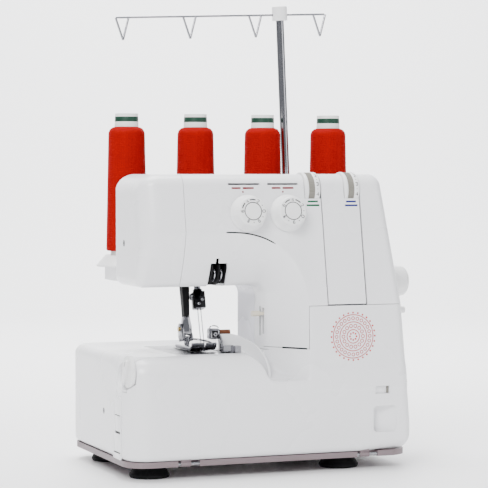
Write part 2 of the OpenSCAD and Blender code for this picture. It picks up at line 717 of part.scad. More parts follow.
// Looper tension wheel with a sunk grip band
module looper_wheel(x) translate([x, wheel_c[0], wheel_c[1]]) rotate([0, 90, 0]) difference() {
    band_r = wheel_r - 0.8;
    rotate_extrude() polygon([[0, 0], [wheel_r, 0], [wheel_r, 2.4], [band_r, 2.6],
        [band_r, 9.4], [wheel_r, 9.6], [wheel_r, wheel_w], [0, wheel_w]]);
    translate([0, 0, -1]) cylinder(r = axle_r + 0.06, h = wheel_w + 2);
}
module upper_looper_wheel() color("white") in_frame() looper_wheel(wheel_x);
module lower_looper_wheel() color("white") in_frame() looper_wheel(wheel_x + wheel_pitch);

// ---- controls ----

module stitch_dial() color("white") in_frame() {
    rod_x(4, 8, side_dial, side_dial_r);
    rod_x(8, 20, side_dial, 4);
    // Pointer ridge
    translate([0.3, side_dial[0], side_dial[1]]) rotate([30, 0, 0]) block([0, -3, -14], [4, 3, 14]);
}

module side_latch() color("white") in_frame() {
    block([0.2, 31.3, 46.2], [3, 38.7, 61.7]);
    block([3, 29, 44.5], [5, 41, 63.5]);
}

module length_button() color("white") in_frame() rod_x(273, 307, button_c, 3.3);

module power_switch() color("black") in_frame() difference() {
    translate([base_w - 1, power_switch_c[0], power_switch_c[1]]) rotate([0, -6, 0])
        block([-6, -7.8, -7.4], [1.5, 7.8, 7.4]);
    rod_y(100, 140, [base_w - 4, power_switch_c[1]], 1.5 + run);
}

module power_inlet() color("black") in_frame() {
    difference() {
        block([base_w - 28, 141.2, 45.2], [base_w, 170.8, 66.8]);
        block([base_w - 18, 144, 48], [base_w + 1, 168, 64]);
    }
    for (y = [149, 163]) block([base_w - 19, y - 2, 54], [base_w - 4, y + 2, 57]);
    // Housing and pivot of the switch
    difference() {
        block([base_w - 14, 111.2, 51.2], [base_w, 128.8, 68.8]);
        block([base_w - 12, 111.8, 51.8], [base_w + 1, 128.2, 68.2]);
    }
    rod_y(111, 129, [base_w - 4, power_switch_c[1]], 1.5);
}

// ---- thread stand ----

module tray_plan(g) polygon(round_rect(35 + g, 146 + g, 296 - g, 199 - g, 12 - g));

module spool_stand() color("white") in_frame() difference() {
    union() {
        along_z(tray_z0, tray_z1) tray_plan(0);
        block([165, pillar_back, tray_z0], [235, 150, tray_z1]);
    }
    along_z(tray_z0 - 1, tray_z1 - wall) tray_plan(wall);
    for (i = [0:3]) translate([cone_x + i * cone_pitch, cone_y, 180]) cylinder(r = 3, h = 30);
    on_pole() translate([0, 0, -10]) cylinder(r = 5.2, h = 30);
}

// Conical stands with their pins; a stem plugs each into the tray
module spool_holders() color("white") in_frame() for (i = [0:3])
    translate([cone_x + i * cone_pitch, cone_y, tray_z1]) rotate_extrude()
        polygon([[0, -8], [3, -8], [3, 0], [saucer_r, 0], [saucer_r, 1.5], [22, 11.5], [5.5, 11.5],
            [4, 14], [3.6, 70], [2, 73], [0, 73]]);

cone_z = tray_z1 + 11.8;
module cone_tube(i) color("ivory") in_frame() translate([cone_x + i * cone_pitch, cone_y, cone_z])
    rotate_extrude() polygon([[15, 0], [16.5, 0], [11.8, 144], [10.3, 144]]);
module thread_cone(i) color("red") in_frame() translate([cone_x + i * cone_pitch, cone_y, cone_z])
    rotate_extrude() polygon(concat([[16.5 - 4.7 * 4 / 144, 4], [20.5, 4], [21.3, 6], [18.8, cone_h - 9]],
        arc([11.8, cone_h - 6], 6.9, 0, 80, 4), [[16.5 - 4.7 * (cone_h + 1) / 144, cone_h + 1]]));
module thread_cone_1() thread_cone(0);
module thread_cone_2() thread_cone(1);
module thread_cone_3() thread_cone(2);
module thread_cone_4() thread_cone(3);
module cone_tube_1() cone_tube(0);
module cone_tube_2() cone_tube(1);
module cone_tube_3() cone_tube(2);
module cone_tube_4() cone_tube(3);

module pole_lower() color("silver") in_frame() on_pole() difference() {
    translate([0, 0, -4]) cylinder(r = 5.2, h = 100);
    translate([0, 0, 2]) cylinder(r = 4.2 + run, h = 100);
}

module pole_upper() color("silver") in_frame() on_pole() {
    difference() {
        translate([0, 0, 74]) cylinder(r = 4.2, h = pole_len - 74);
        translate([0, 0, 73]) cylinder(r = 3.2, h = pole_len - 80);
    }
    // Wire bar with four hanging hooks
    for (s = [-174.5, -101.2, -27.9, 45.4]) translate([s, 0, pole_len - 4]) {
        for (d = [-1, 1]) translate([0, 0, -23]) rotate([0, d * 17, 0]) cylinder(r = 1.1, h = 24);
    }
    translate([-181, 0, pole_len - 4]) rotate([0, 90, 0]) cylinder(r = 1.1, h = 232);
}

module pole_cap() color("white") in_frame() on_pole() translate([0, 0, pole_len - 10]) difference() {
    cylinder(r = 8, h = 14.5);
    translate([0, 0, -1]) cylinder(r = 4.2, h = 11);
    translate([-10, -1.2, 4.8]) cube([20, 2.4, 2.4]);
}

base_tray();
rubber_feet();
frame_casting();
bed_cover();
front_cover();
rear_cover();
face_cover();
thread_path_panel();
chip_guard();
cover_screws();
looper_cover();
cover_hinge_pins();
needle_plate();
main_shaft();
handwheel();
shaft_pulley();
drive_belt();
motor();
motor_pulley();
needle_bar();
needle_clamp();
clamp_screws();
needles();
presser_bar();
presser_spring();
foot_shank();
presser_foot();
foot_lifter();
main_feed_dog();
front_feed_dog();
upper_looper();
lower_looper();
upper_knife();
lower_knife();
knife_knob();
takeup_window();
takeup_lever();
needle_dial_left();
needle_dial_right();
tension_discs();
upper_looper_wheel();
lower_looper_wheel();
stitch_dial();
side_latch();
length_button();
power_switch();
power_inlet();
spool_stand();
spool_holders();
thread_cone_1();
thread_cone_2();
thread_cone_3();
thread_cone_4();
cone_tube_1();
cone_tube_2();
cone_tube_3();
cone_tube_4();
pole_lower();
pole_upper();
pole_cap();
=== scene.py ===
import math

import bmesh
import bpy
import numpy as np
from mathutils import Matrix, Vector


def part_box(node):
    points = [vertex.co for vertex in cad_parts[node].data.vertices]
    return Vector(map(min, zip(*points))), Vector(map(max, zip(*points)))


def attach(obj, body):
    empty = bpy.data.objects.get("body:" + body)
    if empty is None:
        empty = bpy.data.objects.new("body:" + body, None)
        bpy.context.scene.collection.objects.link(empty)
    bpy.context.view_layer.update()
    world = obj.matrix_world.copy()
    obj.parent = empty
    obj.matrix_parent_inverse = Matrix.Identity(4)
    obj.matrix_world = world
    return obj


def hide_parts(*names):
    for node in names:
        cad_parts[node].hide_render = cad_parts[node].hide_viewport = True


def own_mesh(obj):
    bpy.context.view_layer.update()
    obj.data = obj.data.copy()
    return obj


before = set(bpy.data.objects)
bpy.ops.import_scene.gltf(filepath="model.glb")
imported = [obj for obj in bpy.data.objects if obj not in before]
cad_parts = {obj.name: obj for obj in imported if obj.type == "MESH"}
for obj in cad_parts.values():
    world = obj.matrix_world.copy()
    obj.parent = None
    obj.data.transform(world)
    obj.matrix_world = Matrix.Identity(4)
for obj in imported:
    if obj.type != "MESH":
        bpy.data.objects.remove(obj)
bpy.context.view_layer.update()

# A four-thread overlock machine. Places in this script are in millimetres from the
# front-left corner of the base at table level (x right, y back, z up), as in the CAD
# source; place() turns them into the frame's metres.
CORNER = np.array([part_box("bed_cover")[0].x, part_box("looper_cover")[0].y, 0.0]) * 1000.0
MM = 0.001

BED_TOP = 117.0
BODY_TOP = 290.0
SEAM_Z = 162.0
PILLAR_X = 153.0
SWEEP_X = 184.5
HEAD_X = 19.0
WALL = 2.3
FASCIA_TILT = math.tan(math.radians(10.0))
NEEDLE_LEAN = math.radians(16.0)
PRESSER_LEAN = math.radians(8.0)


def place(points):
    """Millimetres from the base's corner, as the frame's metres."""
    return (np.asarray(points, float) + CORNER) * MM


# ---- meshes ----

def new_object(name, points, faces, mats, body, replaces=(), sharp=30.0,
               face_mats=None):
    """A mesh from points in millimetres, riding on a body."""
    mesh = bpy.data.meshes.new(name)
    mesh.from_pydata([tuple(p) for p in place(points)], [], [tuple(f) for f in faces])
    mesh.validate()
    return finish_object(name, mesh, mats, body, replaces, sharp, face_mats)


def finish_object(name, mesh, mats, body, replaces=(), sharp=30.0, face_mats=None):
    """Links a mesh, shades it smooth up to an angle, and ties it to its body."""
    for m in (mats if isinstance(mats, (list, tuple)) else [mats]):
        mesh.materials.append(m)
    if face_mats is not None:
        mesh.polygons.foreach_set("material_index", np.asarray(face_mats, dtype=np.int32))
    mesh.polygons.foreach_set("use_smooth", np.ones(len(mesh.polygons), dtype=bool))
    mesh.set_sharp_from_angle(angle=math.radians(sharp))
    obj = bpy.data.objects.new(name, mesh)
    bpy.context.scene.collection.objects.link(obj)
    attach(obj, body)
    if replaces:
        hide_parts(*replaces)
    return obj


def apply_modifiers(obj, sharp=30.0):
    """Puts the result of an object's modifiers into its mesh."""
    bpy.context.view_layer.update()
    graph = bpy.context.evaluated_depsgraph_get()
    mesh = bpy.data.meshes.new_from_object(obj.evaluated_get(graph))
    old = obj.data
    obj.modifiers.clear()
    obj.data = mesh
    bpy.data.meshes.remove(old)
    mesh.polygons.foreach_set("use_smooth", np.ones(len(mesh.polygons), dtype=bool))
    mesh.set_sharp_from_angle(angle=math.radians(sharp))


def solidify(obj, thickness, offset=-1.0):
    """Gives a skin its wall, inwards."""
    mod = obj.modifiers.new("wall", "SOLIDIFY")
    mod.thickness = thickness * MM
    mod.offset = offset
    mod.use_even_offset = False
    apply_modifiers(obj)


class Builder:
    """Gathers simple bodies into one mesh, in millimetres."""

    def __init__(self):
        self.points, self.faces, self.mats = [], [], []

    def add(self, points, faces, mat=0):
        start = len(self.points)
        self.points += [tuple(p) for p in points]
        self.faces += [tuple(i + start for i in f) for f in faces]
        self.mats += [mat] * len(faces)

    def block(self, low, high, r=0.4, mat=0, matrix=None):
        """A box with rounded edges, optionally moved by a matrix."""
        bm = bmesh.new()
        bmesh.ops.create_cube(bm, size=1.0)
        low, high = Vector(low), Vector(high)
        for v in bm.verts:
            v.co = Vector([(low[i] + high[i]) / 2 + v.co[i] * (high[i] - low[i]) for i in range(3)])
        self.add_bm(bm, r, mat, matrix)

    def add_bm(self, bm, r, mat, matrix=None, segments=2, angle=20.0):
        if r > 0:
            edges = [e for e in bm.edges if len(e.link_faces) == 2
                     and e.calc_face_angle(0.0) > math.radians(angle)]
            bmesh.ops.bevel(bm, geom=edges, offset=r, segments=segments, profile=0.5,
                            affect="EDGES", clamp_overlap=True)
        if matrix is not None:
            bm.transform(matrix)
        bm.verts.index_update()
        self.add([v.co for v in bm.verts], [[v.index for v in f.verts] for f in bm.faces], mat)
        bm.free()

    def prism(self, outline, low, high, axis="z", r=0.4, mat=0, matrix=None):
        """An outline pushed along an axis; outline points are the two other axes in order."""
        bm = bmesh.new()
        rings = []
        for level in (low, high):
            ring = []
            for a, b in outline:
                co = {"z": (a, b, level), "x": (level, a, b), "y": (a, level, b)}[axis]
                ring.append(bm.verts.new(co))
            rings.append(ring)
        n = len(outline)
        bm.faces.new(rings[0])
        bm.faces.new(rings[1])
        for i in range(n):
            bm.faces.new([rings[0][i], rings[0][(i + 1) % n], rings[1][(i + 1) % n], rings[1][i]])
        bmesh.ops.recalc_face_normals(bm, faces=bm.faces[:])
        self.add_bm(bm, r, mat, matrix, angle=25.0)

    def lathe(self, profile, origin, axis, steps=48, mat=0, start=0.0, sweep=360.0, ripple=None):
        """A profile of (radius, height) turned about an axis through origin."""
        axis = Vector(axis).normalized()
        side = axis.orthogonal().normalized()
        other = axis.cross(side)
        closed = abs(sweep - 360.0) < 1e-6
        count = steps if closed else steps + 1
        points, faces = [], []
        for i in range(count):
            a = math.radians(start + sweep * i / steps)
            direction = side * math.cos(a) + other * math.sin(a)
            for j, (r, h) in enumerate(profile):
                extra = ripple(a, h, j) if ripple else 0.0
                points.append(Vector(origin) + axis * h + direction * (r + extra))
        m = len(profile)
        for i in range(steps):
            k = (i + 1) % count
            for j in range(m - 1):
                quad = [i * m + j, k * m + j, k * m + j + 1, i * m + j + 1]
                if profile[j][0] == 0 and not ripple:
                    quad = [quad[0], quad[2], quad[3]]
                elif profile[j + 1][0] == 0 and not ripple:
                    quad = quad[:3]
                faces.append(quad)
        self.add(points, faces, mat)

    def tube(self, path, r, sides=10, mat=0, caps=True):
        """A round wire along a path."""
        path = [Vector(p) for p in path]
        radii = r if isinstance(r, (list, tuple)) else [r] * len(path)
        points, faces = [], []
        normal = None
        for i, p in enumerate(path):
            ahead = (path[min(i + 1, len(path) - 1)] - path[max(i - 1, 0)]).normalized()
            if normal is None:
                normal = ahead.orthogonal().normalized()
            normal = (normal - ahead * normal.dot(ahead)).normalized()
            other = ahead.cross(normal)
            for j in range(sides):
                a = 2 * math.pi * j / sides
                points.append(p + (normal * math.cos(a) + other * math.sin(a)) * radii[i])
        for i in range(len(path) - 1):
            for j in range(sides):
                k = (j + 1) % sides
                faces.append([i * sides + j, i * sides + k, (i + 1) * sides + k, (i + 1) * sides + j])
        if caps:
            faces.append(list(range(sides - 1, -1, -1)))
            last = (len(path) - 1) * sides
            faces.append([last + j for j in range(sides)])
        self.add(points, faces, mat)

    def object(self, name, mats, body, replaces=(), sharp=30.0):
        """One object of everything gathered, with doubled points merged and normals outward."""
        mesh = bpy.data.meshes.new(name)
        mesh.from_pydata([tuple(p) for p in place(self.points)], [], self.faces)
        mesh.validate()
        bm = bmesh.new()
        bm.from_mesh(mesh)
        for f, m in zip(bm.faces, self.mats):
            f.material_index = m
        bmesh.ops.remove_doubles(bm, verts=bm.verts[:], dist=1e-6)
        bmesh.ops.recalc_face_normals(bm, faces=bm.faces[:])
        bm.to_mesh(mesh)
        bm.free()
        return finish_object(name, mesh, mats, body, replaces, sharp)


def needle_point(z, dx=0.0, dy=0.0):
    """A point on the needle bar's line at height z."""
    return Vector((96.5 + dx, 62.0 + (z - BED_TOP) * math.tan(NEEDLE_LEAN) + dy, z))


def lean_matrix(point, lean):
    """Turns +Z onto a line that leans forward at the bottom, with the origin at a point."""
    return Matrix.Translation(Vector(point)) @ Matrix.Rotation(-lean, 4, "X")


def presser_point(z):
    """A point on the presser bar's line at height z."""
    return Vector((84.5, 75.0 + (z - BED_TOP) * math.tan(PRESSER_LEAN), z))


def fascia_y(z):
    """The front surface of the machine at height z, right of the sweep."""
    return np.where(z > SEAM_Z, 2.0 + (z - SEAM_Z) * FASCIA_TILT, 2.0 * np.clip((z - 80.0) / 82.0, 0, 1))


def right_x(z):
    """The right-hand side of the machine at height z."""
    low = 295.0 - 9.0 * np.clip((z - 45.0) / 117.0, 0, 1)
    return low - np.where(z > SEAM_Z, 14.0 * (z - SEAM_Z) / 122.0, 0.0)


# ---- casings: one smooth skin from a distance field, cut into its panels ----

def r_max(a, b, r):
    """Intersection of two fields with a rounded edge of radius r."""
    u, v = np.maximum(a + r, 0), np.maximum(b + r, 0)
    return np.minimum(np.maximum(a, b), -r) + np.sqrt(u * u + v * v)


def r_min(a, b, r):
    """Union of two fields with a fillet of radius r."""
    return -r_max(-a, -b, r)


def throat_field(x, y, z):
    """Negative in the throat under the arm, which flares to the arch at the front."""
    inner = r_max(x - PILLAR_X, z - 181.5, 12.0)
    dx, dz = np.maximum(x - 105.0, 0) / 80.0, np.maximum(z - 150.0, 0) / 84.0
    outer = (np.power(dx, 2.4) + np.power(dz, 2.4)) ** (1 / 2.4) - 1.0
    outer = outer * 80.0
    back = 35.0 + 11.0 * np.clip((x - 100.0) / 50.0, 0, 1)
    front = fascia_y(z)
    t = np.clip((back - y) / (back - front), -0.6, 1.3)
    flare = inner * (1 - t) + outer * t
    flare = flare / np.sqrt(1 + ((outer - inner) / (back - front)) ** 2 * 0.6)
    return r_min(inner, flare, 4.0)


def base_field(x, y, z):
    """Negative inside the base: corners rounded in plan, a broad roll along the front's top."""
    plan = r_max(r_max(-x, -y, 24.0), x - right_x(z), 11.0)
    plan = r_max(plan, y - 198.0, 24.0)
    roll = 9.0 + 10.0 * np.clip((60.0 - y) / 35.0, 0, 1)
    under = 6.0 + 9.0 * np.clip((x - 240.0) / 40.0, 0, 1)
    return r_max(r_max(plan, z - BED_TOP, roll), 18.4 - z, under)


def hollow_field(x, y, z):
    """Negative in the scooped hollow in front of the pillar's foot."""
    bowl = (np.sqrt((y / 47.0) ** 2 + ((z - 118.0) / 27.0) ** 2) - 1.0) * 27.0
    left = 141.0 - x - 16.0 * np.clip((z - 91.0) / 26.0, 0, 1) ** 2
    return r_max(r_max(bowl, left, 8.0), z - 160.0, 1.0)


def upper_field(x, y, z):
    """Negative inside arm, head, pillar and the upright front panel."""
    tilt = math.cos(math.atan(FASCIA_TILT))
    body = r_max((fascia_y(z) - y) * tilt, z - BODY_TOP, 11.0)
    back = np.where(x < PILLAR_X, 116.0, 116.0 + 4.0 * np.clip((x - PILLAR_X) / 8.0, 0, 1))
    body = r_max(body, y - back, 14.0)
    body = r_max(body, HEAD_X - x, 20.0)
    body = r_max(body, x - right_x(z), 11.0)
    edge = 1.2 + 8.0 * np.clip((52.0 - x) / 30.0, 0, 1)
    body = r_max(body, -throat_field(x, y, z), edge)
    return np.maximum(body, 80.0 - z)


def body_field(x, y, z):
    """The whole casing: base and upper body, less hollow, dial recess and thumb recess."""
    base = r_max(base_field(x, y, z), -r_max(hollow_field(x, y, z), throat_field(x, y, z), 3.0), 2.5)
    whole = r_min(base, upper_field(x, y, z), 1.5)
    recess = np.maximum(np.sqrt((y - 19.0) ** 2 + (z - 103.0) ** 2) - 16.8, x - 9.0)
    whole = r_max(whole, -recess, 0.8)
    dx, dz = np.abs(x - 264.5) - 12.5, np.abs(z - 49.5) - 13.0
    thumb = r_max(r_max(dx, dz, 5.0), y - 2.0 - 7.0 * np.clip((277.0 - x) / 20.0, 0, 1), 2.5)
    return r_max(whole, -thumb, 1.0)


def contour(field, low, high, h):
    """Points and quads of a field's zero surface, with its edges kept (dual contouring)."""
    axes = [np.arange(low[d], high[d] + h, h) for d in range(3)]
    nx, ny, nz = (len(a) for a in axes)
    values = np.empty((nx, ny, nz), np.float32)
    for i in range(0, nx, 32):
        values[i:i + 32] = field(axes[0][i:i + 32, None, None], axes[1][None, :, None],
                                 axes[2][None, None, :])
    inside = values < 0
    hits, quads = [], []
    for d in range(3):
        one = [slice(None)] * 3
        two = [slice(None)] * 3
        one[d], two[d] = slice(0, -1), slice(1, None)
        index = np.argwhere(inside[tuple(one)] != inside[tuple(two)])
        a = values[tuple(index.T)].astype(float)
        step = np.zeros(3, int)
        step[d] = 1
        b = values[tuple((index + step).T)].astype(float)
        t = a / (a - b)
        origin = np.array([axes[0][index[:, 0]], axes[1][index[:, 1]], axes[2][index[:, 2]]]).T
        lo, hi, fa, fb = np.zeros(len(t)), np.ones(len(t)), a.copy(), b.copy()
        for _ in range(3):
            p = origin + (t * h)[:, None] * step
            f = field(p[:, 0], p[:, 1], p[:, 2])
            same = (f < 0) == (fa < 0)
            lo, fa = np.where(same, t, lo), np.where(same, f, fa)
            hi, fb = np.where(same, hi, t), np.where(same, fb, f)
            t = lo + (hi - lo) * np.clip(fa / (fa - fb + 1e-12), 0.02, 0.98)
        p = origin + (t * h)[:, None] * step
        hits.append((index, p, d, a < 0))
    cells, data = [], []
    for index, p, d, _ in hits:
        e = 0.02
        grad = np.empty_like(p)
        for k in range(3):
            q = p.copy()
            q[:, k] += e
            s = p.copy()
            s[:, k] -= e
            grad[:, k] = field(*q.T) - field(*s.T)
        normal = grad / np.maximum(np.linalg.norm(grad, axis=1), 1e-9)[:, None]
        u, v = (d + 1) % 3, (d + 2) % 3
        corners = []
        for du, dv in ((0, 0), (1, 0), (1, 1), (0, 1)):
            cell = index.copy()
            cell[:, u] -= du
            cell[:, v] -= dv
            cells.append(cell)
            data.append(np.hstack([p, normal]))
            corners.append(cell)
        quads.append(corners)
    cells, data = np.vstack(cells), np.vstack(data)
    ids = (cells[:, 0] * ny + cells[:, 1]) * nz + cells[:, 2]
    unique, where = np.unique(ids, return_inverse=True)
    n = len(unique)
    count = np.bincount(where, minlength=n)
    mean = np.stack([np.bincount(where, data[:, k], n) / count for k in range(3)], 1)
    rel = data[:, :3] - mean[where]
    nor = data[:, 3:]
    dot = (rel * nor).sum(1)
    m = np.empty((n, 3, 3))
    rhs = np.empty((n, 3))
    for i in range(3):
        rhs[:, i] = np.bincount(where, nor[:, i] * dot, n)
        for j in range(3):
            m[:, i, j] = np.bincount(where, nor[:, i] * nor[:, j], n)
    m += np.eye(3) * 0.08
    move = np.linalg.solve(m, rhs[:, :, None])[:, :, 0]
    cell = np.stack([unique // (ny * nz), unique // nz % ny, unique % nz], 1)
    centre = np.array(low) + (cell + 0.5) * h
    points = np.clip(mean + move, centre - 0.55 * h, centre + 0.55 * h)
    faces = []
    for (index, p, d, first), corners in zip(hits, quads):
        flat = [np.searchsorted(unique, (c[:, 0] * ny + c[:, 1]) * nz + c[:, 2]) for c in corners]
        face = np.stack(flat, 1)
        faces.append(np.where(first[:, None], face[:, ::-1], face)[:, ::-1])
    return points, np.vstack(faces)


def cut_box(bm, low, high):
    """Cuts a box out of a skin: crisp edges on its six planes, nothing left inside."""
    reach = 3.0
    faces = []
    for f in bm.faces:
        c = f.verts[0].co
        if (low[0] - reach < c.x < high[0] + reach and low[1] - reach < c.y < high[1] + reach
                and low[2] - reach < c.z < high[2] + reach):
            faces.append(f)
    for i in range(3):
        for co in (low, high):
            normal = Vector((0, 0, 0))
            normal[i] = 1.0
            geom = set(faces)
            for f in faces:
                geom.update(f.verts)
                geom.update(f.edges)
            if not geom:
                return
            cut = bmesh.ops.bisect_plane(bm, geom=list(geom), plane_co=Vector(co), plane_no=normal,
                                         dist=1e-4)
            faces = [g for g in cut["geom"] if isinstance(g, bmesh.types.BMFace)]
    inside = []
    for f in faces:
        c = f.calc_center_median()
        if all(low[i] - 1e-4 <= c[i] <= high[i] + 1e-4 for i in range(3)):
            inside.append(f)
    bmesh.ops.delete(bm, geom=inside, context="FACES")


GAP = 0.5
SEAMS = [
    ((61.9, -5, 175), (61.9 + GAP, 130, 300)),               # face cover to front cover
    ((62.4, 67.9, 117), (300, 67.9 + GAP, 300)),             # front cover to rear cover
    ((184, -5, SEAM_Z), (300, 40 + GAP, SEAM_Z + GAP)),      # front cover to looper cover
    ((250, 40, 10), (300, 40 + GAP, SEAM_Z + GAP)),
    ((184.2, -2, 120.4), (184.7, 8, SEAM_Z + GAP)),            # looper cover beside the sweep
    ((141, -2, 120.4), (184.6, 47, 120.9)),
    ((150, 40, 117.6), (300, 125, 118.1)),                   # pillar to bed
    ((-1, 13.6, 84), (141.5, 14.1, 120)),                    # looper cover to bed
    ((-1, 22, 10), (24, 22 + GAP, 84 + GAP)),
    ((-1, 13.6, 84), (24, 22 + GAP, 84 + GAP)),
    ((141.5, 13.6, 80), (142, 47, 118)),
    ((141.5, 46, 80), (154, 46.5, 118)),
]
OPENINGS = [
    ((107.8, 5, 279.6), (140.5, 30, 281.6)),                 # needle thread entries
    ((148.5, 5, 279.6), (180.5, 30, 281.6)),
    ((186.8, 0, 266.2), (204, 56, 300)),                     # looper wheels
    ((228.8, 0, 266.2), (246.2, 56, 300)),
    ((203.8, -5, SEAM_Z), (205.1, 60, 300)),                 # slots beside the thread panel
    ((244.7, -5, SEAM_Z), (246.3, 60, 300)),
    ((203.8, -5, SEAM_Z), (246.3, 60, SEAM_Z + 1.4)),
    ((204, 60, 280), (246.2, 60.5, 300)),
    ((90.6, 15, 180), (107.8, 45, 204.2)),                   # take-up window
    ((95.4, 15, 203), (98.8, 45, 209)),
    ((151, 45.8, 133), (156, 49.2, 158.6)),                  # presser lifter
    ((77, 42, 178), (104, 100, 186)),                        # needle bar and presser bar
    ((56.7, 24.7, 100), (119.3, 129.3, 120)),   # needle plate
    ((254, -2, 74.5), (269, 3, 82)),                         # latch window
    ((-1, 31.2, 44), (3, 39, 62)),                           # side latch
    ((285, 111, 51), (297, 129, 69)),                        # power switch
    ((285, 141, 45), (297, 171, 67)),                        # power inlet
]


def panel_masks(c):
    """Which face belongs to which casing, from the faces' centres."""
    x, y, z = c.T
    low = z < np.where((x > 141.2) & (y < 46.2), 120.65, 117.85)
    cover = (y < 13.85) & low
    cover |= (x < 24) & (y < 22.2) & (z < 84.2)
    cover |= (x > 250) & (y < 40.2) & (z < SEAM_Z + 0.2)
    cover |= (x > 184.4) & (y < 40.2) & (z < SEAM_Z + 0.2) & ~low
    cover |= (x > 141.7) & (y < 46.2) & low
    cover |= (x > 184.4) & (y < 40.2) & low
    panel = (y < 60.2) & (z > SEAM_Z + 0.2) & (x > 204.5) & ((x < 229) | ((x < 245.5) & (z < 266.4)))
    panel &= ~cover
    face = (x < 62.1) & ~low
    rear = (y > 68.1) & ~low & ~face
    bed = low & ~cover
    front = ~(cover | panel | face | rear | bed)
    return {"looper_cover": cover, "thread_path_panel": panel, "face_cover": face,
            "rear_cover": rear, "bed_cover": bed, "front_cover": front}


def build_casings(mats):
    """All casing panels as walled shells in place of the plain CAD ones."""
    step = 1.5
    points, faces = contour(body_field, (-3, -3, 14), (299, 202, 293), step)
    mesh = bpy.data.meshes.new("casing_skin")
    mesh.from_pydata(points.tolist(), [], faces.tolist())
    bm = bmesh.new()
    bm.from_mesh(mesh)
    bottom = [f for f in bm.faces if f.calc_center_median().z < 18.6]
    bmesh.ops.delete(bm, geom=bottom, context="FACES")
    for low, high in SEAMS + OPENINGS:
        cut_box(bm, low, high)
    loose = [v for v in bm.verts if not v.link_faces]
    bmesh.ops.delete(bm, geom=loose, context="VERTS")
    bm.to_mesh(mesh)
    bm.free()
    count = len(mesh.polygons)
    centre = np.empty(count * 3)
    mesh.polygons.foreach_get("center", centre)
    centre = centre.reshape(-1, 3)
    coords = np.array([v.co for v in mesh.vertices])
    polys = [list(p.vertices) for p in mesh.polygons]
    bpy.data.meshes.remove(mesh)
    shells = {}
    for name, mask in panel_masks(centre).items():
        chosen = np.nonzero(mask)[0]
        used = sorted({v for i in chosen for v in polys[i]})
        renumber = {v: k for k, v in enumerate(used)}
        body = "cover" if name == "looper_cover" else "machine"
        obj = new_object("shell_" + name, coords[used], [[renumber[v] for v in polys[i]] for i in chosen],
                         mats["lilac" if name == "rear_cover" else "shell"], body, replaces=(name,))
        solidify(obj, WALL)
        shells[name] = obj
    return shells


# ---- materials ----

def node_material(name, colour, rough, metallic=0.0, spec=0.5, coat=0.0, coat_rough=0.1):
    """A principled material and its node tree, with the constant sockets set."""
    mat = bpy.data.materials.new(name)
    mat.use_nodes = True
    tree = mat.node_tree
    shader = tree.nodes["Principled BSDF"]
    shader.inputs["Base Color"].default_value = (*colour, 1.0)
    shader.inputs["Roughness"].default_value = rough
    shader.inputs["Metallic"].default_value = metallic
    shader.inputs["Specular IOR Level"].default_value = spec
    shader.inputs["Coat Weight"].default_value = coat
    shader.inputs["Coat Roughness"].default_value = coat_rough
    mat.diffuse_color = (*colour, 1.0)
    return mat, tree, shader


def coordinates(tree, scale=(1, 1, 1)):
    """Object coordinates in metres, scaled."""
    source = tree.nodes.new("ShaderNodeTexCoord")
    mapping = tree.nodes.new("ShaderNodeMapping")
    mapping.inputs["Scale"].default_value = scale
    tree.links.new(source.outputs["Object"], mapping.inputs["Vector"])
    return mapping.outputs["Vector"]


def noise(tree, vector, scale, detail=3.0, roughness=0.5):
    node = tree.nodes.new("ShaderNodeTexNoise")
    node.inputs["Scale"].default_value = scale
    node.inputs["Detail"].default_value = detail
    node.inputs["Roughness"].default_value = roughness
    tree.links.new(vector, node.inputs["Vector"])
    return node.outputs["Fac"]


def remap(tree, value, low, high, start=0.0, end=1.0):
    node = tree.nodes.new("ShaderNodeMapRange")
    for key, v in (("From Min", start), ("From Max", end), ("To Min", low), ("To Max", high)):
        node.inputs[key].default_value = v
    tree.links.new(value, node.inputs["Value"])
    return node.outputs["Result"]


def mix_colour(tree, factor, a, b):
    node = tree.nodes.new("ShaderNodeMix")
    node.data_type = "RGBA"
    tree.links.new(factor, node.inputs["Factor"])
    for socket, v in ((node.inputs["A"], a), (node.inputs["B"], b)):
        if hasattr(v, "links"):
            tree.links.new(v, socket)
        else:
            socket.default_value = (*v, 1.0)
    return node.outputs["Result"]


def bump(tree, shader, height, strength, distance):
    node = tree.nodes.new("ShaderNodeBump")
    node.inputs["Strength"].default_value = strength
    node.inputs["Distance"].default_value = distance
    tree.links.new(height, node.inputs["Height"])
    tree.links.new(node.outputs["Normal"], shader.inputs["Normal"])


def plastic(name, colour, rough=0.3, grain=0.02, tint=0.985, spec=0.5):
    """Moulded plastic: faint mottling of tone and gloss, and a very fine grain."""
    mat, tree, shader = node_material(name, colour, rough, spec=spec)
    vector = coordinates(tree)
    cloud = noise(tree, vector, 9.0, 4.0)
    fine = noise(tree, vector, 1400.0, 2.0)
    shade = tuple(c * tint for c in colour)
    tree.links.new(mix_colour(tree, remap(tree, cloud, 0, 1, 0.35, 0.65), colour, shade),
                   shader.inputs["Base Color"])
    tree.links.new(remap(tree, cloud, rough - 0.05, rough + 0.06, 0.3, 0.7), shader.inputs["Roughness"])
    bump(tree, shader, fine, grain, 0.0004)
    return mat


def metal(name, colour, rough, stretch=(1, 1, 1), scratch=0.08, tint=0.8):
    """Ground or plated metal: fine scratches along one direction, smudges in the gloss."""
    mat, tree, shader = node_material(name, colour, rough, metallic=1.0)
    lines = noise(tree, coordinates(tree, stretch), 900.0, 3.0, 0.6)
    smudge = noise(tree, coordinates(tree), 60.0, 4.0, 0.6)
    shade = tuple(c * tint for c in colour)
    tree.links.new(mix_colour(tree, remap(tree, smudge, 0, 1, 0.4, 0.7), colour, shade),
                   shader.inputs["Base Color"])
    tree.links.new(remap(tree, smudge, rough * 0.7, rough * 1.5 + 0.03, 0.35, 0.7),
                   shader.inputs["Roughness"])
    bump(tree, shader, lines, scratch, 0.0003)
    return mat


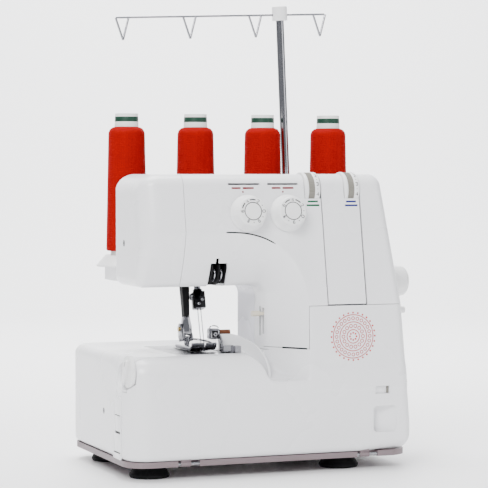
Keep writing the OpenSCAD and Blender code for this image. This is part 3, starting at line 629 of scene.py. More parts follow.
def rubber(name, colour=(0.004, 0.004, 0.0045)):
    mat, tree, shader = node_material(name, colour, 0.6, spec=0.15)
    vector = coordinates(tree)
    dust = noise(tree, vector, 120.0, 5.0, 0.6)
    tree.links.new(mix_colour(tree, remap(tree, dust, 0, 1, 0.45, 0.8), colour,
                              tuple(c * 2.2 for c in colour)), shader.inputs["Base Color"])
    tree.links.new(remap(tree, dust, 0.5, 0.75, 0.3, 0.7), shader.inputs["Roughness"])
    bump(tree, shader, noise(tree, vector, 900.0, 3.0), 0.2, 0.0005)
    return mat


def thread(name, colour, dark):
    """Cross-wound thread: two crossing sets of fine helical lines over the cone."""
    mat, tree, shader = node_material(name, colour, 0.75, spec=0.05)
    shader.inputs["Sheen Weight"].default_value = 0.08
    shader.inputs["Sheen Roughness"].default_value = 0.4
    shader.inputs["Sheen Tint"].default_value = (1.0, 0.1, 0.08, 1.0)
    vector = coordinates(tree)
    waves = []
    for turn in (0.16, -0.16):
        mapping = tree.nodes.new("ShaderNodeMapping")
        mapping.inputs["Rotation"].default_value = (turn, turn * 0.6, 0)
        tree.links.new(vector, mapping.inputs["Vector"])
        wave = tree.nodes.new("ShaderNodeTexWave")
        wave.bands_direction = "Z"
        wave.inputs["Scale"].default_value = 420.0
        wave.inputs["Distortion"].default_value = 1.2
        wave.inputs["Detail"].default_value = 2.0
        wave.inputs["Detail Scale"].default_value = 2.0
        tree.links.new(mapping.outputs["Vector"], wave.inputs["Vector"])
        waves.append(wave.outputs["Fac"])
    most = tree.nodes.new("ShaderNodeMath")
    most.operation = "MAXIMUM"
    tree.links.new(waves[0], most.inputs[0])
    tree.links.new(waves[1], most.inputs[1])
    cloud = noise(tree, vector, 90.0, 4.0)
    tone = mix_colour(tree, remap(tree, most.outputs[0], 0, 1, 0.2, 0.9), dark, colour)
    tree.links.new(mix_colour(tree, remap(tree, cloud, 0, 0.35, 0.35, 0.7), tone, dark),
                   shader.inputs["Base Color"])
    bump(tree, shader, most.outputs[0], 0.5, 0.0004)
    return mat


def ink(name, colour):
    """Printed marks."""
    mat, tree, shader = node_material(name, colour, 0.45, spec=0.35)
    speck = noise(tree, coordinates(tree), 1500.0, 2.0)
    tree.links.new(mix_colour(tree, remap(tree, speck, 0, 0.3, 0.4, 0.7), colour,
                              tuple(min(1, c * 1.25 + 0.01) for c in colour)),
                   shader.inputs["Base Color"])
    return mat


def cast_paint(name, colour, rough=0.5):
    mat, tree, shader = node_material(name, colour, rough)
    vector = coordinates(tree)
    bump(tree, shader, noise(tree, vector, 350.0, 4.0), 0.25, 0.001)
    tree.links.new(mix_colour(tree, remap(tree, noise(tree, vector, 40.0, 4.0), 0, 1, 0.3, 0.7), colour,
                              tuple(c * 0.8 for c in colour)), shader.inputs["Base Color"])
    return mat


def make_materials():
    return {
        "shell": plastic("white_shell_plastic", (0.80, 0.80, 0.815), 0.26),
        "lilac": plastic("rear_shell_plastic", (0.77, 0.77, 0.83), 0.30),
        "knob": plastic("white_knob_plastic", (0.80, 0.80, 0.80), 0.30),
        "band": plastic("grey_band_plastic", (0.20, 0.19, 0.165), 0.6, grain=0.2, spec=0.2),
        "tray": plastic("chassis_plastic", (0.17, 0.13, 0.14), 0.45),
        "cream": plastic("cream_plastic", (0.60, 0.55, 0.44), 0.32),
        "amber": plastic("amber_plastic", (0.11, 0.030, 0.007), 0.3),
        "black": plastic("black_plastic", (0.004, 0.004, 0.0045), 0.5, tint=1.4, spec=0.15),
        "tube": plastic("cone_tube_plastic", (0.78, 0.79, 0.76), 0.5),
        "green": ink("green_print", (0.001, 0.032, 0.016)),
        "red_ink": ink("red_print", (0.16, 0.002, 0.008)),
        "blue_ink": ink("blue_print", (0.012, 0.015, 0.13)),
        "green_ink": ink("teal_print", (0.006, 0.075, 0.035)),
        "black_ink": ink("black_print", (0.006, 0.006, 0.007)),
        "rose_ink": ink("rose_print", (0.42, 0.002, 0.006)),
        "rubber": rubber("foot_rubber"),
        "belt": rubber("belt_rubber", (0.016, 0.016, 0.017)),
        "chrome": metal("chrome", (0.31, 0.31, 0.33), 0.12, scratch=0.02, tint=0.93),
        "steel": metal("ground_steel", (0.36, 0.36, 0.38), 0.24, stretch=(0.05, 1, 1)),
        "dark_steel": metal("blackened_steel", (0.020, 0.020, 0.022), 0.28, scratch=0.1),
        "brass": metal("brass", (0.55, 0.40, 0.18), 0.25),
        "plate": metal("needle_plate_steel", (0.17, 0.17, 0.185), 0.28, stretch=(1, 0.04, 1), scratch=0.15),
        "casting": cast_paint("cast_frame_paint", (0.30, 0.31, 0.33)),
        "motor": cast_paint("motor_paint", (0.10, 0.11, 0.13), 0.4),
        "thread": thread("red_thread", (0.30, 0.0002, 0.0001), (0.22, 0.0001, 0.0001)),
    }


NODE_FINISH = {
    "base_tray": "tray", "rubber_feet": "rubber", "frame_casting": "casting",
    "chip_guard": "shell", "cover_screws": "steel", "cover_hinge_pins": "steel",
    "needle_plate": "plate", "main_shaft": "steel", "handwheel": "knob", "shaft_pulley": "black",
    "drive_belt": "belt", "motor": "motor", "motor_pulley": "black", "needle_bar": "steel",
    "needle_clamp": "dark_steel", "clamp_screws": "steel", "needles": "chrome",
    "presser_bar": "dark_steel", "presser_spring": "steel", "foot_shank": "chrome",
    "presser_foot": "chrome", "foot_lifter": "cream", "main_feed_dog": "dark_steel",
    "front_feed_dog": "dark_steel", "upper_looper": "steel", "lower_looper": "steel",
    "upper_knife": "steel", "lower_knife": "chrome", "knife_knob": "amber",
    "takeup_window": "black", "takeup_lever": "chrome", "needle_dial_left": "knob",
    "needle_dial_right": "knob", "tension_discs": "chrome", "upper_looper_wheel": "knob",
    "lower_looper_wheel": "knob", "stitch_dial": "knob", "side_latch": "shell",
    "length_button": "knob", "power_switch": "black", "power_inlet": "black",
    "spool_stand": "shell", "spool_holders": "knob", "pole_lower": "chrome",
    "pole_upper": "chrome", "pole_cap": "knob", "bed_cover": "shell", "front_cover": "shell",
    "rear_cover": "shell", "face_cover": "shell", "thread_path_panel": "shell",
    "looper_cover": "shell",
}
for number in range(1, 5):
    NODE_FINISH[f"thread_cone_{number}"] = "thread"
    NODE_FINISH[f"cone_tube_{number}"] = "tube"


def finish_nodes(mats):
    """Gives every CAD node its procedural material."""
    for name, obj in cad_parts.items():
        obj.data.materials.clear()
        obj.data.materials.append(mats[NODE_FINISH[name]])
# ---- small pieces that stand for the plain CAD ones ----

FASCIA_OUT = Vector((0, -math.cos(math.radians(10)), math.sin(math.radians(10))))
DIAL_XS = (126.0, 167.5)
DIAL_Z = 252.0
DIAL_FACE = 15.7
WHEEL_XS = (187.5, 229.5)
WHEEL_W = 16.0
WHEEL_C = (36.5, 274.5)
WHEEL_R = 17.5
CONE_XS = [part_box(f"thread_cone_{i}")[0].x / MM - CORNER[0] + 21.3 for i in range(1, 5)]
CONE_Y = (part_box("thread_cone_1")[0].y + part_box("thread_cone_1")[1].y) / 2 / MM - CORNER[1]
TUBE_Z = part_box("cone_tube_1")[0].z / MM
DIGITS = {
    "0": [[(-.5, 1), (.5, 1), (.8, .5), (.8, -.5), (.5, -1), (-.5, -1), (-.8, -.5), (-.8, .5), (-.5, 1)]],
    "1": [[(-.4, .6), (.1, 1), (.1, -1)]],
    "2": [[(-.7, .6), (-.4, 1), (.4, 1), (.7, .6), (.7, .2), (-.7, -1), (.8, -1)]],
    "3": [[(-.7, .8), (0, 1), (.6, .8), (.6, .3), (0, .05), (.7, -.3), (.6, -.8), (0, -1), (-.7, -.8)]],
    "4": [[(.35, -1), (.35, 1), (-.75, -.4), (.8, -.4)]],
    "5": [[(.7, 1), (-.6, 1), (-.7, .1), (.3, .25), (.7, -.2), (.6, -.8), (0, -1), (-.7, -.8)]],
    "6": [[(.6, .8), (0, 1), (-.6, .6), (-.7, -.4), (-.4, -1), (.4, -1), (.7, -.6), (.5, .05), (-.6, 0)]],
    "8": [[(0, .05), (-.6, .5), (-.4, 1), (.4, 1), (.6, .5), (0, .05), (-.7, -.5), (-.4, -1), (.4, -1),
           (.7, -.5), (0, .05)]],
    "9": [[(-.6, -.8), (0, -1), (.6, -.6), (.7, .4), (.4, 1), (-.4, 1), (-.7, .6), (-.5, -.05), (.6, 0)]],
}


def surface_y(x, z, start=-4.0, end=60.0):
    """Where a line along +y first meets the casing."""
    ys = np.arange(start, end, 0.25)
    inside = body_field(np.full_like(ys, x), ys, np.full_like(ys, z)) < 0
    return float(ys[np.argmax(inside)]) if inside.any() else end


def axes_frame(origin, out, up):
    """Matrix with +Z along out and +Y as near up as can be."""
    out = Vector(out).normalized()
    side = Vector(up).cross(out).normalized()
    up = out.cross(side)
    m = Matrix((side, up, out)).transposed().to_4x4()
    m.translation = Vector(origin)
    return m


def ribbon(b, line, width, m, height=0.12, mat=0, lift=None):
    """A printed stroke: a thin raised ribbon along a flat line, put in place by a matrix."""
    line = [Vector((p[0], p[1], 0)) for p in line]
    points = []
    for i, p in enumerate(line):
        ahead = (line[min(i + 1, len(line) - 1)] - line[max(i - 1, 0)])
        ahead = ahead.normalized() if ahead.length > 0 else Vector((1, 0, 0))
        side = Vector((-ahead.y, ahead.x, 0)) * (width / 2)
        base = lift(p) if lift else 0.0
        for q, h in ((p - side, base - 0.3), (p - side, base + height),
                     (p + side, base + height), (p + side, base - 0.3)):
            points.append(m @ Vector((q.x, q.y, h)))
    faces = [[0, 1, 2, 3]]
    for i in range(len(line) - 1):
        for j in range(4):
            k = (j + 1) % 4
            faces.append([i * 4 + j, i * 4 + k, i * 4 + 4 + k, i * 4 + 4 + j])
    last = 4 * (len(line) - 1)
    faces.append([last + 3, last + 2, last + 1, last])
    b.add(points, faces, mat)


def disc(b, r, m, height=0.12, mat=0, steps=16, sink=0.3):
    """A printed dot, or the head of something small."""
    o, z = m.translation, m.to_3x3() @ Vector((0, 0, 1))
    b.lathe([(0, -sink), (r, -sink), (r, height * 0.6), (r * 0.93, height), (0, height)], o, z, steps, mat)


def ring(b, r, width, m, height=0.12, mat=0, steps=64, start=0.0, sweep=360.0):
    line = [(r * math.cos(math.radians(start + sweep * i / steps)),
             r * math.sin(math.radians(start + sweep * i / steps))) for i in range(steps + 1)]
    ribbon(b, line, width, m, height, mat)


def numeral(b, char, size, m, width=0.32, mat=0, height=0.1):
    for line in DIGITS[char]:
        ribbon(b, [(x * size * 0.5, y * size * 0.5) for x, y in line], width, m, height, mat)


def build_dials(mats):
    """The two needle-tension dials, with their ring, numerals, dots and arcs."""
    for side, x, turn in (("left", DIAL_XS[0], 30.0), ("right", DIAL_XS[1], 0.0)):
        b = Builder()
        origin = (x, float(fascia_y(DIAL_Z)), DIAL_Z)
        skirt = [(3.1, 0.6), (17.6, 0.6), (18.0, 1.0), (18.0, 2.6), (17.7, 3.2), (17.0, 4.2)]
        skirt += [(16.6 - 2.0 * t, 5.0 + 8.6 * t) for t in np.linspace(0, 1, 6)]
        skirt += [(14.35, 14.3), (13.9, 15.1), (13.1, 15.6), (12.2, 15.7), (8.9, 15.7), (8.75, 15.4),
                  (8.2, 15.4), (8.05, 15.75), (7.4, 15.95), (4.0, 16.05), (0, 16.1)]
        b.lathe(skirt, origin, FASCIA_OUT, 96,
                ripple=lambda a, h, j: -0.22 * max(0.0, math.cos(36 * a)) if 3 < h < 14 else 0.0)
        face = axes_frame(Vector(origin) + FASCIA_OUT * DIAL_FACE, FASCIA_OUT, (0, 0, 1))
        ring(b, 8.47, 0.9, face, 0.0, mat=1)
        for i, char in enumerate("420986"):
            at = math.radians(90 - 60 * i + turn)
            spin = Matrix.Rotation(at - math.pi / 2, 4, "Z")
            spot = face @ Matrix.Translation((11.0 * math.cos(at), 11.0 * math.sin(at), 0))
            numeral(b, char, 2.9, spot @ spin, 0.55, 1)
            if char not in "46":
                between = at + math.radians(30)
                if char != "2":
                    disc(b, 0.48, face @ Matrix.Translation((11 * math.cos(between), 11 * math.sin(between), 0)),
                         0.1, 1)
        ring(b, 11.2, 1.05, face, 0.1, 1, 12, 90 + turn + 15, 30)
        ring(b, 11.2, 1.05, face, 0.1, 1, 12, 90 + turn - 45, 30)
        b.object(f"tension_dial_{side}", [mats["knob"], mats["black_ink"]], f"{side}_dial",
                 (f"needle_dial_{side}",))


def build_looper_wheels(mats):
    """The two looper-tension wheels: white rim, ribbed grey band, white band with numerals."""
    for name, x in (("upper", WHEEL_XS[0]), ("lower", WHEEL_XS[1])):
        b = Builder()
        origin = (x, *WHEEL_C)
        b.lathe([(3.0, 0.2), (16.6, 0.2), (17.3, 0.5), (WHEEL_R, 1.2), (WHEEL_R, 3.2), (17.2, 3.7)],
                origin, (1, 0, 0), 96)
        b.lathe([(17.2, 3.7), (17.0, 3.9), (17.0, 9.9), (17.2, 10.1)], origin, (1, 0, 0), 240, 1,
                ripple=lambda a, h, j: 0.16 * math.cos(60 * a))
        b.lathe([(17.2, 10.1), (17.35, 10.5), (17.35, 15.0), (16.9, 15.6), (16.0, 15.8), (3.0, 15.8)],
                origin, (1, 0, 0), 96)
        for i, char in enumerate("0123456789"):
            if char == "7":
                continue
            at = math.radians(160 + (int(char) - 3) * 33)
            out = Vector((0, math.cos(at), math.sin(at)))
            spot = Vector(origin) + Vector((12.9, 0, 0)) + out * 17.35
            m = axes_frame(spot, out, Vector((1, 0, 0)).cross(out) * -1)
            numeral(b, char, 3.2, m, 0.62, 2)
            at += math.radians(16.5)
            out = Vector((0, math.cos(at), math.sin(at)))
            disc(b, 0.4, axes_frame(Vector(origin) + Vector((12.9, 0, 0)) + out * 17.35, out, (1, 0, 0)), 0.1, 2)
        b.object(f"{name}_tension_wheel", [mats["knob"], mats["band"], mats["black_ink"]],
                 f"{name}_wheel", (f"{name}_looper_wheel",))


def build_cones(mats):
    """Thread cones: the cross-wound thread and its core tube with a plain green band."""
    rows = 0.6
    for i, x in enumerate(CONE_XS, 1):
        origin = (x, CONE_Y, TUBE_Z)
        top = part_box(f"thread_cone_{i}")[1].z / MM - TUBE_Z + 1.6
        profile = [(16.6, 4.0), (19.6, 4.0), (20.4, 4.4)]
        heights = np.arange(5.2, top - 8.0, rows)
        profile += [(21.1 - 2.4 * (h - 5.2) / (top - 13.2), float(h)) for h in heights]
        profile += [(11.8 + 6.9 * math.cos(a), top - 8.0 + 7.6 * math.sin(a))
                    for a in np.linspace(0.05, 1.45, 12)]
        profile.append((11.6, top))

        def winding(a, h, j):
            if j < 3 or h > top - 0.8:
                return 0.0
            return 0.10 * (math.sin(2.6 * h + 5 * a) + math.sin(2.6 * h - 5 * a + 1.0)) - 0.05

        b = Builder()
        b.lathe(profile, origin, (0, 0, 1), 60, ripple=winding)
        b.object(f"wound_thread_{i}", [mats["thread"]], f"cone_{i}", (f"thread_cone_{i}",), 60)
        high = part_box(f"cone_tube_{i}")[1].z / MM - TUBE_Z
        b = Builder()
        slope = 4.7 / 144
        bands = [(0.0, 0), (high - 8.4, 1), (high - 3.3, 0), (high - 0.6, 0)]
        for (low, mat), (up, _) in zip(bands, bands[1:]):
            b.lathe([(16.5 - slope * low, low), (16.5 - slope * up, up)], origin, (0, 0, 1), 48, mat)
        t = 16.5 - slope * (high - 0.6)
        b.lathe([(t, high - 0.6), (t - 0.1, high - 0.15), (t - 0.5, high), (t - 1.1, high),
                 (t - 1.5, high - 0.3), (15.0, 0), (16.5, 0)], origin, (0, 0, 1), 48)
        b.object(f"core_tube_{i}", [mats["tube"], mats["green"]], f"cone_{i}", (f"cone_tube_{i}",))


def build_prints(mats):
    """Coloured bars and dots in place of lettering, on the front and the looper cover."""
    b = Builder()

    def front(x, z):
        return axes_frame((x, float(fascia_y(z)), z), FASCIA_OUT, (0, 0, 1))

    for x, z in ((122.7, 276.6), (164.3, 276.6)):
        ribbon(b, [(-11.4, 0), (-2.2, 0)], 1.7, front(x, z), mat=0)
        ribbon(b, [(0.0, 0), (11.4, 0)], 1.7, front(x, z), mat=0)
        disc(b, 0.95, front(x, z - 3.7), mat=0)
    for x, z, mat in ((195.2, 261.9, 1), (236.0, 261.6, 2)):
        ribbon(b, [(-5.4, 1.5), (5.4, 1.5)], 1.75, front(x, z), mat=mat)
        ribbon(b, [(-6.8, -2.3), (6.8, -2.3)], 1.75, front(x, z), mat=mat)
    b.object("front_marks", [mats["red_ink"], mats["green_ink"], mats["blue_ink"]], "machine")
    # A plain rosette of rings and dots on the looper cover
    b = Builder()
    tilt = math.atan(2.0 / 82.0)
    out = (0, -math.cos(tilt), math.sin(tilt))
    m = axes_frame((230.4, 2.0 * (131.6 - 80.0) / 82.0, 131.6), out, (0, 0, 1))
    for r, w in ((21.2, 0.8), (14.2, 0.8), (6.6, 0.8)):
        ring(b, r, w, m)
    for count, r, size in ((24, 17.7, 1.5), (28, 23.2, 0.95), (14, 10.4, 1.6), (8, 3.5, 0.95)):
        for i in range(count):
            a = 2 * math.pi * i / count
            spot = m @ Matrix.Translation((r * math.cos(a), r * math.sin(a), 0))
            if size > 1:
                ring(b, size, 0.7, spot, steps=12)
            else:
                disc(b, size, spot, steps=10)
    b.object("cover_rosette", [mats["rose_ink"]], "cover")


def build_takeup(mats):
    """The black well of the take-up with its two chrome hooks."""
    b = Builder()
    low, high = (89.8, 182.4), (108.6, 209.6)
    for z0, z1 in [(z, z + 1.81) for z in np.arange(low[1], high[1] - 0.5, 1.81)]:
        y0 = surface_y(99.0, z1) + 2.6
        for x in (low[0], high[0]):
            b.block((x - 0.4, y0, z0 - 0.02), (x + 0.4, 46.0, z1 + 0.02), 0.0)
    b.block((low[0] - 0.4, 45.2, low[1]), (high[0] + 0.4, 46.0, high[1]), 0.2)
    b.block((low[0] - 0.4, surface_y(99.0, 209.0) + 2.7, high[1] - 0.4), (high[0] + 0.4, 46.0, high[1] + 0.4), 0.2)
    for x, w in ((92.3, 1.0), (99.3, 1.5), (106.4, 0.9)):
        b.prism([(30, 184.0), (40, 184.0), (43, 203), (24, 203), (23, 200)], x - w / 2, x + w / 2, "x", 0.3)
    b.object("takeup_well", [mats["black"]], "machine", ("takeup_window",))
    b = Builder()
    for x in (95.8, 102.8):
        path = [(x, 60, 206.5), (x, 50, 204.0), (x, 41, 203.0), (x, 33.5, 201.0), (x, 28.6, 197.5),
                (x, 27.4, 193.5), (x, 29.5, 189.5), (x, 33.6, 187.4), (x, 37, 188.2), (x, 38.4, 190.4)]
        b.tube(smooth_path(path, 4), 0.95, 10)
    b.lathe([(0, 0), (4.6, 0), (5, 0.4), (5, 7.6), (4.6, 8), (0, 8)], (96, 64, 206), (1, 0, 0), 32)
    b.object("takeup_hooks", [mats["chrome"]], "takeup", ("takeup_lever",), 50)


def smooth_path(path, n):
    """Catmull-Rom points through a path."""
    pts = [Vector(p) for p in path]
    out = []
    for i in range(len(pts) - 1):
        a, b, c, d = pts[max(i - 1, 0)], pts[i], pts[i + 1], pts[min(i + 2, len(pts) - 1)]
        for k in range(n):
            t = k / n
            out.append(0.5 * ((2 * b) + (c - a) * t + (2 * a - 5 * b + 4 * c - d) * t * t
                              + (3 * b - a - 3 * c + d) * t ** 3))
    return out + [pts[-1]]


def build_needle_clamp(mats):
    """Black needle clamp with a neck, set screws and a knurled side screw."""
    m = lean_matrix(needle_point(157), NEEDLE_LEAN)
    b = Builder()
    b.prism([(-5.5, -6), (5.5, -6), (5.5, 5.2), (4.7, 6), (-4.7, 6), (-5.5, 5.2)], 0.6, 17.2, "z", 0.7, 0, m)
    b.prism([(-5.0, -5.2), (5.0, -5.2), (5.0, 5.0), (-5.0, 5.0)], 0, 1.4, "z", 0.3, 1, m)
    up = m.to_3x3() @ Vector((0, 0, 1))
    b.lathe([(3.3, 17.0), (4.6, 17.0), (4.6, 19.4), (4.2, 19.9), (3.3, 19.9)], m.translation, up, 32, 0)
    b.object("needle_clamp_block", [mats["dark_steel"], mats["steel"]], "needle_drive",
             ("needle_clamp",))
    b = Builder()
    front = m.to_3x3() @ Vector((0, -1, 0))
    for x, z in ((-1.8, 4.2), (2.0, 8.4)):
        o = m @ Vector((x, -5.8, z))
        b.lathe([(0, 0.6), (0.7, 0.6), (0.75, 1.2), (1.35, 1.3), (1.6, 1.0), (1.65, -0.2)], o, front, 20)
    o = m @ Vector((-5.4, 0, 12.4))
    b.lathe([(1.3, -0.4), (1.3, 0.5), (2.9, 0.6), (3.2, 0.9), (3.2, 2.5), (2.9, 2.8), (1.9, 2.8), (1.7, 2.2),
             (0, 2.2)], o, (-1, 0, 0), 40, ripple=lambda a, h, j: 0.12 * math.cos(20 * a) if j in (3, 4, 5) else 0)
    b.object("needle_screws", [mats["steel"]], "needle_drive", ("clamp_screws",), 40)


def build_presser(mats):
    """Black presser bar sleeve, chrome ankle with a brass screw, and the foot's sole."""
    m = lean_matrix(presser_point(125), PRESSER_LEAN)
    b = Builder()
    up = m.to_3x3() @ Vector((0, 0, 1))
    bm = bmesh.new()
    rings = []
    for z, wx, y0, y1 in ((17, 2.5, -3.6, 3.6), (30, 2.9, -3.8, 3.8), (44, 3.4, -4.1, 4.1), (56, 3.9, -4.3, 4.3),
                          (58, 3.5, -3.9, 3.9)):
        rings.append([bm.verts.new(c) for c in ((-wx, y0, z), (wx, y0, z), (wx, y1, z), (-wx, y1, z))])
    for low, high in zip(rings, rings[1:]):
        for j in range(4):
            bm.faces.new([low[j], low[(j + 1) % 4], high[(j + 1) % 4], high[j]])
    bm.faces.new(rings[0][::-1])
    bm.faces.new(rings[-1])
    b.add_bm(bm, 0.9, 0, m, 3, 40)
    b.lathe([(0, 57), (3.4, 57), (3.4, 92), (6.3, 92.2), (6.5, 92.5), (6.5, 98.6), (6.3, 99), (3.5, 99.1),
             (3.5, 129.6), (3.1, 130), (0, 130)], m.translation, up, 32)
    b.object("presser_bar_sleeve", [mats["black"]], "presser", ("presser_bar",))
    b = Builder()
    b.prism([(-4.6, 6.5), (4.6, 6.5), (4.6, 15.0), (3.6, 20.5), (3.0, 24.6), (-3.0, 24.6), (-3.6, 20.5),
             (-4.6, 15.0)], -4.4, 4.4, "y", 0.8, 0, m)
    for x0, x1 in ((-4.8, -2.6), (2.6, 4.8)):
        b.prism([(-5.5, 0.4), (4.5, 0.4), (5.0, 3), (4.6, 8), (-4.6, 8), (-6.5, 4)], x0, x1, "x", 0.5, 0, m)
    b.prism([(-6.5, 1.2), (4.0, 0.2), (6.4, 6), (6.4, 16), (2.5, 18.5), (-3.5, 17.5), (-6.5, 12)],
            -7.0, -4.4, "x", 0.7, 0, m)
    b.lathe([(0, 0.7), (0.6, 0.7), (0.7, 1.5), (1.9, 1.6), (2.2, 1.2), (2.25, -0.5)],
            m @ Vector((-6.9, 0.4, 12.6)), (-1, 0, 0), 28, 1)
    b.object("foot_ankle", [mats["chrome"], mats["brass"]], "presser", ("foot_shank",))
    b = Builder()
    xl, xr = 77.5, 103.4
    toe = [(41.2, 124.6), (42.4, 122.2), (45.4, 119.6), (49.2, 118.2), (87.5, 118.2), (90.8, 119.4), (92, 121.2),
           (91.2, 122.2), (52.5, 122.2), (47.5, 122.8), (44.6, 124.6), (42.6, 126.6)]
    for x0, x1, y_high in ((xl, 90.4, 200), (92.4, 99.6, 47.5), (99.8, xr, 47.5)):
        outline = [p for p in toe if p[0] <= y_high]
        if y_high < 100:
            outline = toe[:4] + [(52.0, 118.2), (52.0, 122.2)] + toe[9:]
        b.prism(outline, x0, x1, "x", 0.55)
    b.block((90.2, 49.6, 118.4), (92.8, 92, 121.8), 0.4)
    b.block((92.2, 72.6, 118.3), (xr, 91.6, 121.9), 0.6)
    b.block((92.2, 48.8, 118.9), (xr, 52.6, 122.4), 0.8)
    b.tube(smooth_path([(79.5, 60, 121.5), (79.0, 56, 126), (80.0, 51, 129.5), (84.0, 46, 129.8),
                        (90, 43, 128.6), (96, 43.6, 127.0), (100, 47, 124.5), (100.6, 50, 121.5)], 5), 0.9, 10)
    pin = presser_point(128)
    b.block((82.6, pin.y - 3.4, 121.6), (86.4, pin.y + 3.4, 130.4), 0.8)
    b.lathe([(0, -6), (1.2, -6), (1.2, 6), (0, 6)], pin, (1, 0, 0), 20)
    b.object("foot_sole", [mats["chrome"]], "foot", ("presser_foot",))


def build_spring(mats):
    """The presser bar's coil spring."""
    m = lean_matrix(presser_point(224.4), PRESSER_LEAN)
    turns, length = 6, 13.4
    path = [m @ Vector((5 * math.cos(a), 5 * math.sin(a), 0.7 + length * a / (2 * math.pi * turns)))
            for a in np.linspace(0, 2 * math.pi * turns, turns * 24 + 1)]
    b = Builder()
    b.tube(path, 0.65, 8)
    spring = b.object("presser_coil", [mats["steel"]], "machine", ("presser_spring",), 60)
    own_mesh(spring)


def build_knife_arm(mats):
    """Upper knife: its holder block with a clamp screw, and the blade beside the needles."""
    b = Builder()
    b.prism([(53.0, 128.4), (65.6, 128.4), (65.6, 136.4), (63.4, 138.8), (54.8, 138.8), (53.0, 136.8)],
            101.4, 110.4, "x", 0.8)
    b.block((110.0, 55.0, 128.6), (111.8, 63.0, 138.0), 0.5, 1)
    b.prism([(42.2, 116.6), (51.0, 116.6), (51.0, 128.0), (57.0, 131.0), (57.0, 135.0), (48.0, 131.5),
             (44.0, 127.0)], 109.0, 110.8, "x", 0.3)
    b.block((102.6, 52.2, 130.2), (108.8, 53.4, 136.8), 0.4, 1)
    b.lathe([(0, 0.8), (0.8, 0.8), (0.9, 1.6), (1.9, 1.6), (2.1, 1.3), (2.1, -0.4)], (105.6, 53.0, 133.4),
            (0, -1, 0), 24)
    b.tube(smooth_path([(102, 58, 138.4), (102, 57, 140.6), (104, 56, 141.6), (108, 56, 141.2),
                        (110.4, 57, 139.6)], 4), 0.6, 8)
    b.block((114.2, 44.4, 98), (117.8, 49.4, 116.0), 0.4, 1)
    b.object("upper_knife_holder", [mats["steel"], mats["dark_steel"]], "knife_arm", ("upper_knife",))


def build_guard(mats):
    """The curved white guard right of the knives, one bent wall with a rounded rim."""
    points, faces = [], []
    steps, wall = 48, 2.4
    ends = np.linspace(-1.0, 96.0, steps + 1)
    section = [(0.0, 0.0), (0.0, 0.35), (0.0, 0.7), (0.0, 0.9), (0.0, 0.97), (0.35, 1.0), (0.75, 1.0),
               (1.0, 0.97), (1.0, 0.9), (1.0, 0.7), (1.0, 0.35), (1.0, 0.0)]
    for a in ends:
        c, s = math.cos(math.radians(a)), math.sin(math.radians(a))
        outer = Vector((115 + 34.0 * c, 14.5 + 45.5 * s, 0))
        normal = Vector((c / 34.0, s / 45.5, 0)).normalized()
        t = min(max((outer.y - 14.0) / 44.0, 0.0), 1.0)
        top = 92 + 41.0 * math.sqrt(t)
        for depth, h in section:
            p = outer - normal * wall * depth
            z = 92 + (top - 92) * min(h, 0.9) / 0.9
            z -= {0.9: 0.9, 0.97: 0.35, 1.0: 0.0}.get(h, 0.9 * h / 0.9)
            points.append((p.x, p.y, z))
    n = len(section)
    for i in range(steps):
        for j in range(n):
            k = (j + 1) % n
            faces.append([i * n + j, i * n + k, (i + 1) * n + k, (i + 1) * n + j])
    faces.append(list(range(n)))
    faces.append([steps * n + j for j in range(n - 1, -1, -1)])
    b = Builder()
    b.add(points, faces)
    b.block((111.0, 57.2, 92), (115.6, 59.8, 131.5), 0.6)
    b.object("chip_fender", [mats["shell"]], "machine", ("chip_guard",), 50)


def screw(b, point, out, r=2.6, mats=(0, 1), turn=0.5):
    """A recessed cross-head screw: a black ring round its head is painted shade of its hole, and black cross
    strokes are painted shade in its recess.
    """
    m = axes_frame(point, out, (0, 0, 1)) @ Matrix.Rotation(turn, 4, "Z")
    # black ring just under the head: painted shade of the hole round the screw
    disc(b, r + 0.7, m, 0.06, mats[1], 28)
    disc(b, r, m, 0.16, mats[0], 28)
    # black cross strokes: painted shade in the cross recess
    for spin in (0, math.pi / 2):
        s = m @ Matrix.Rotation(spin, 4, "Z")
        ribbon(b, [(-r * 0.62, 0), (r * 0.62, 0)], 0.7, s, 0.2, mats[1])


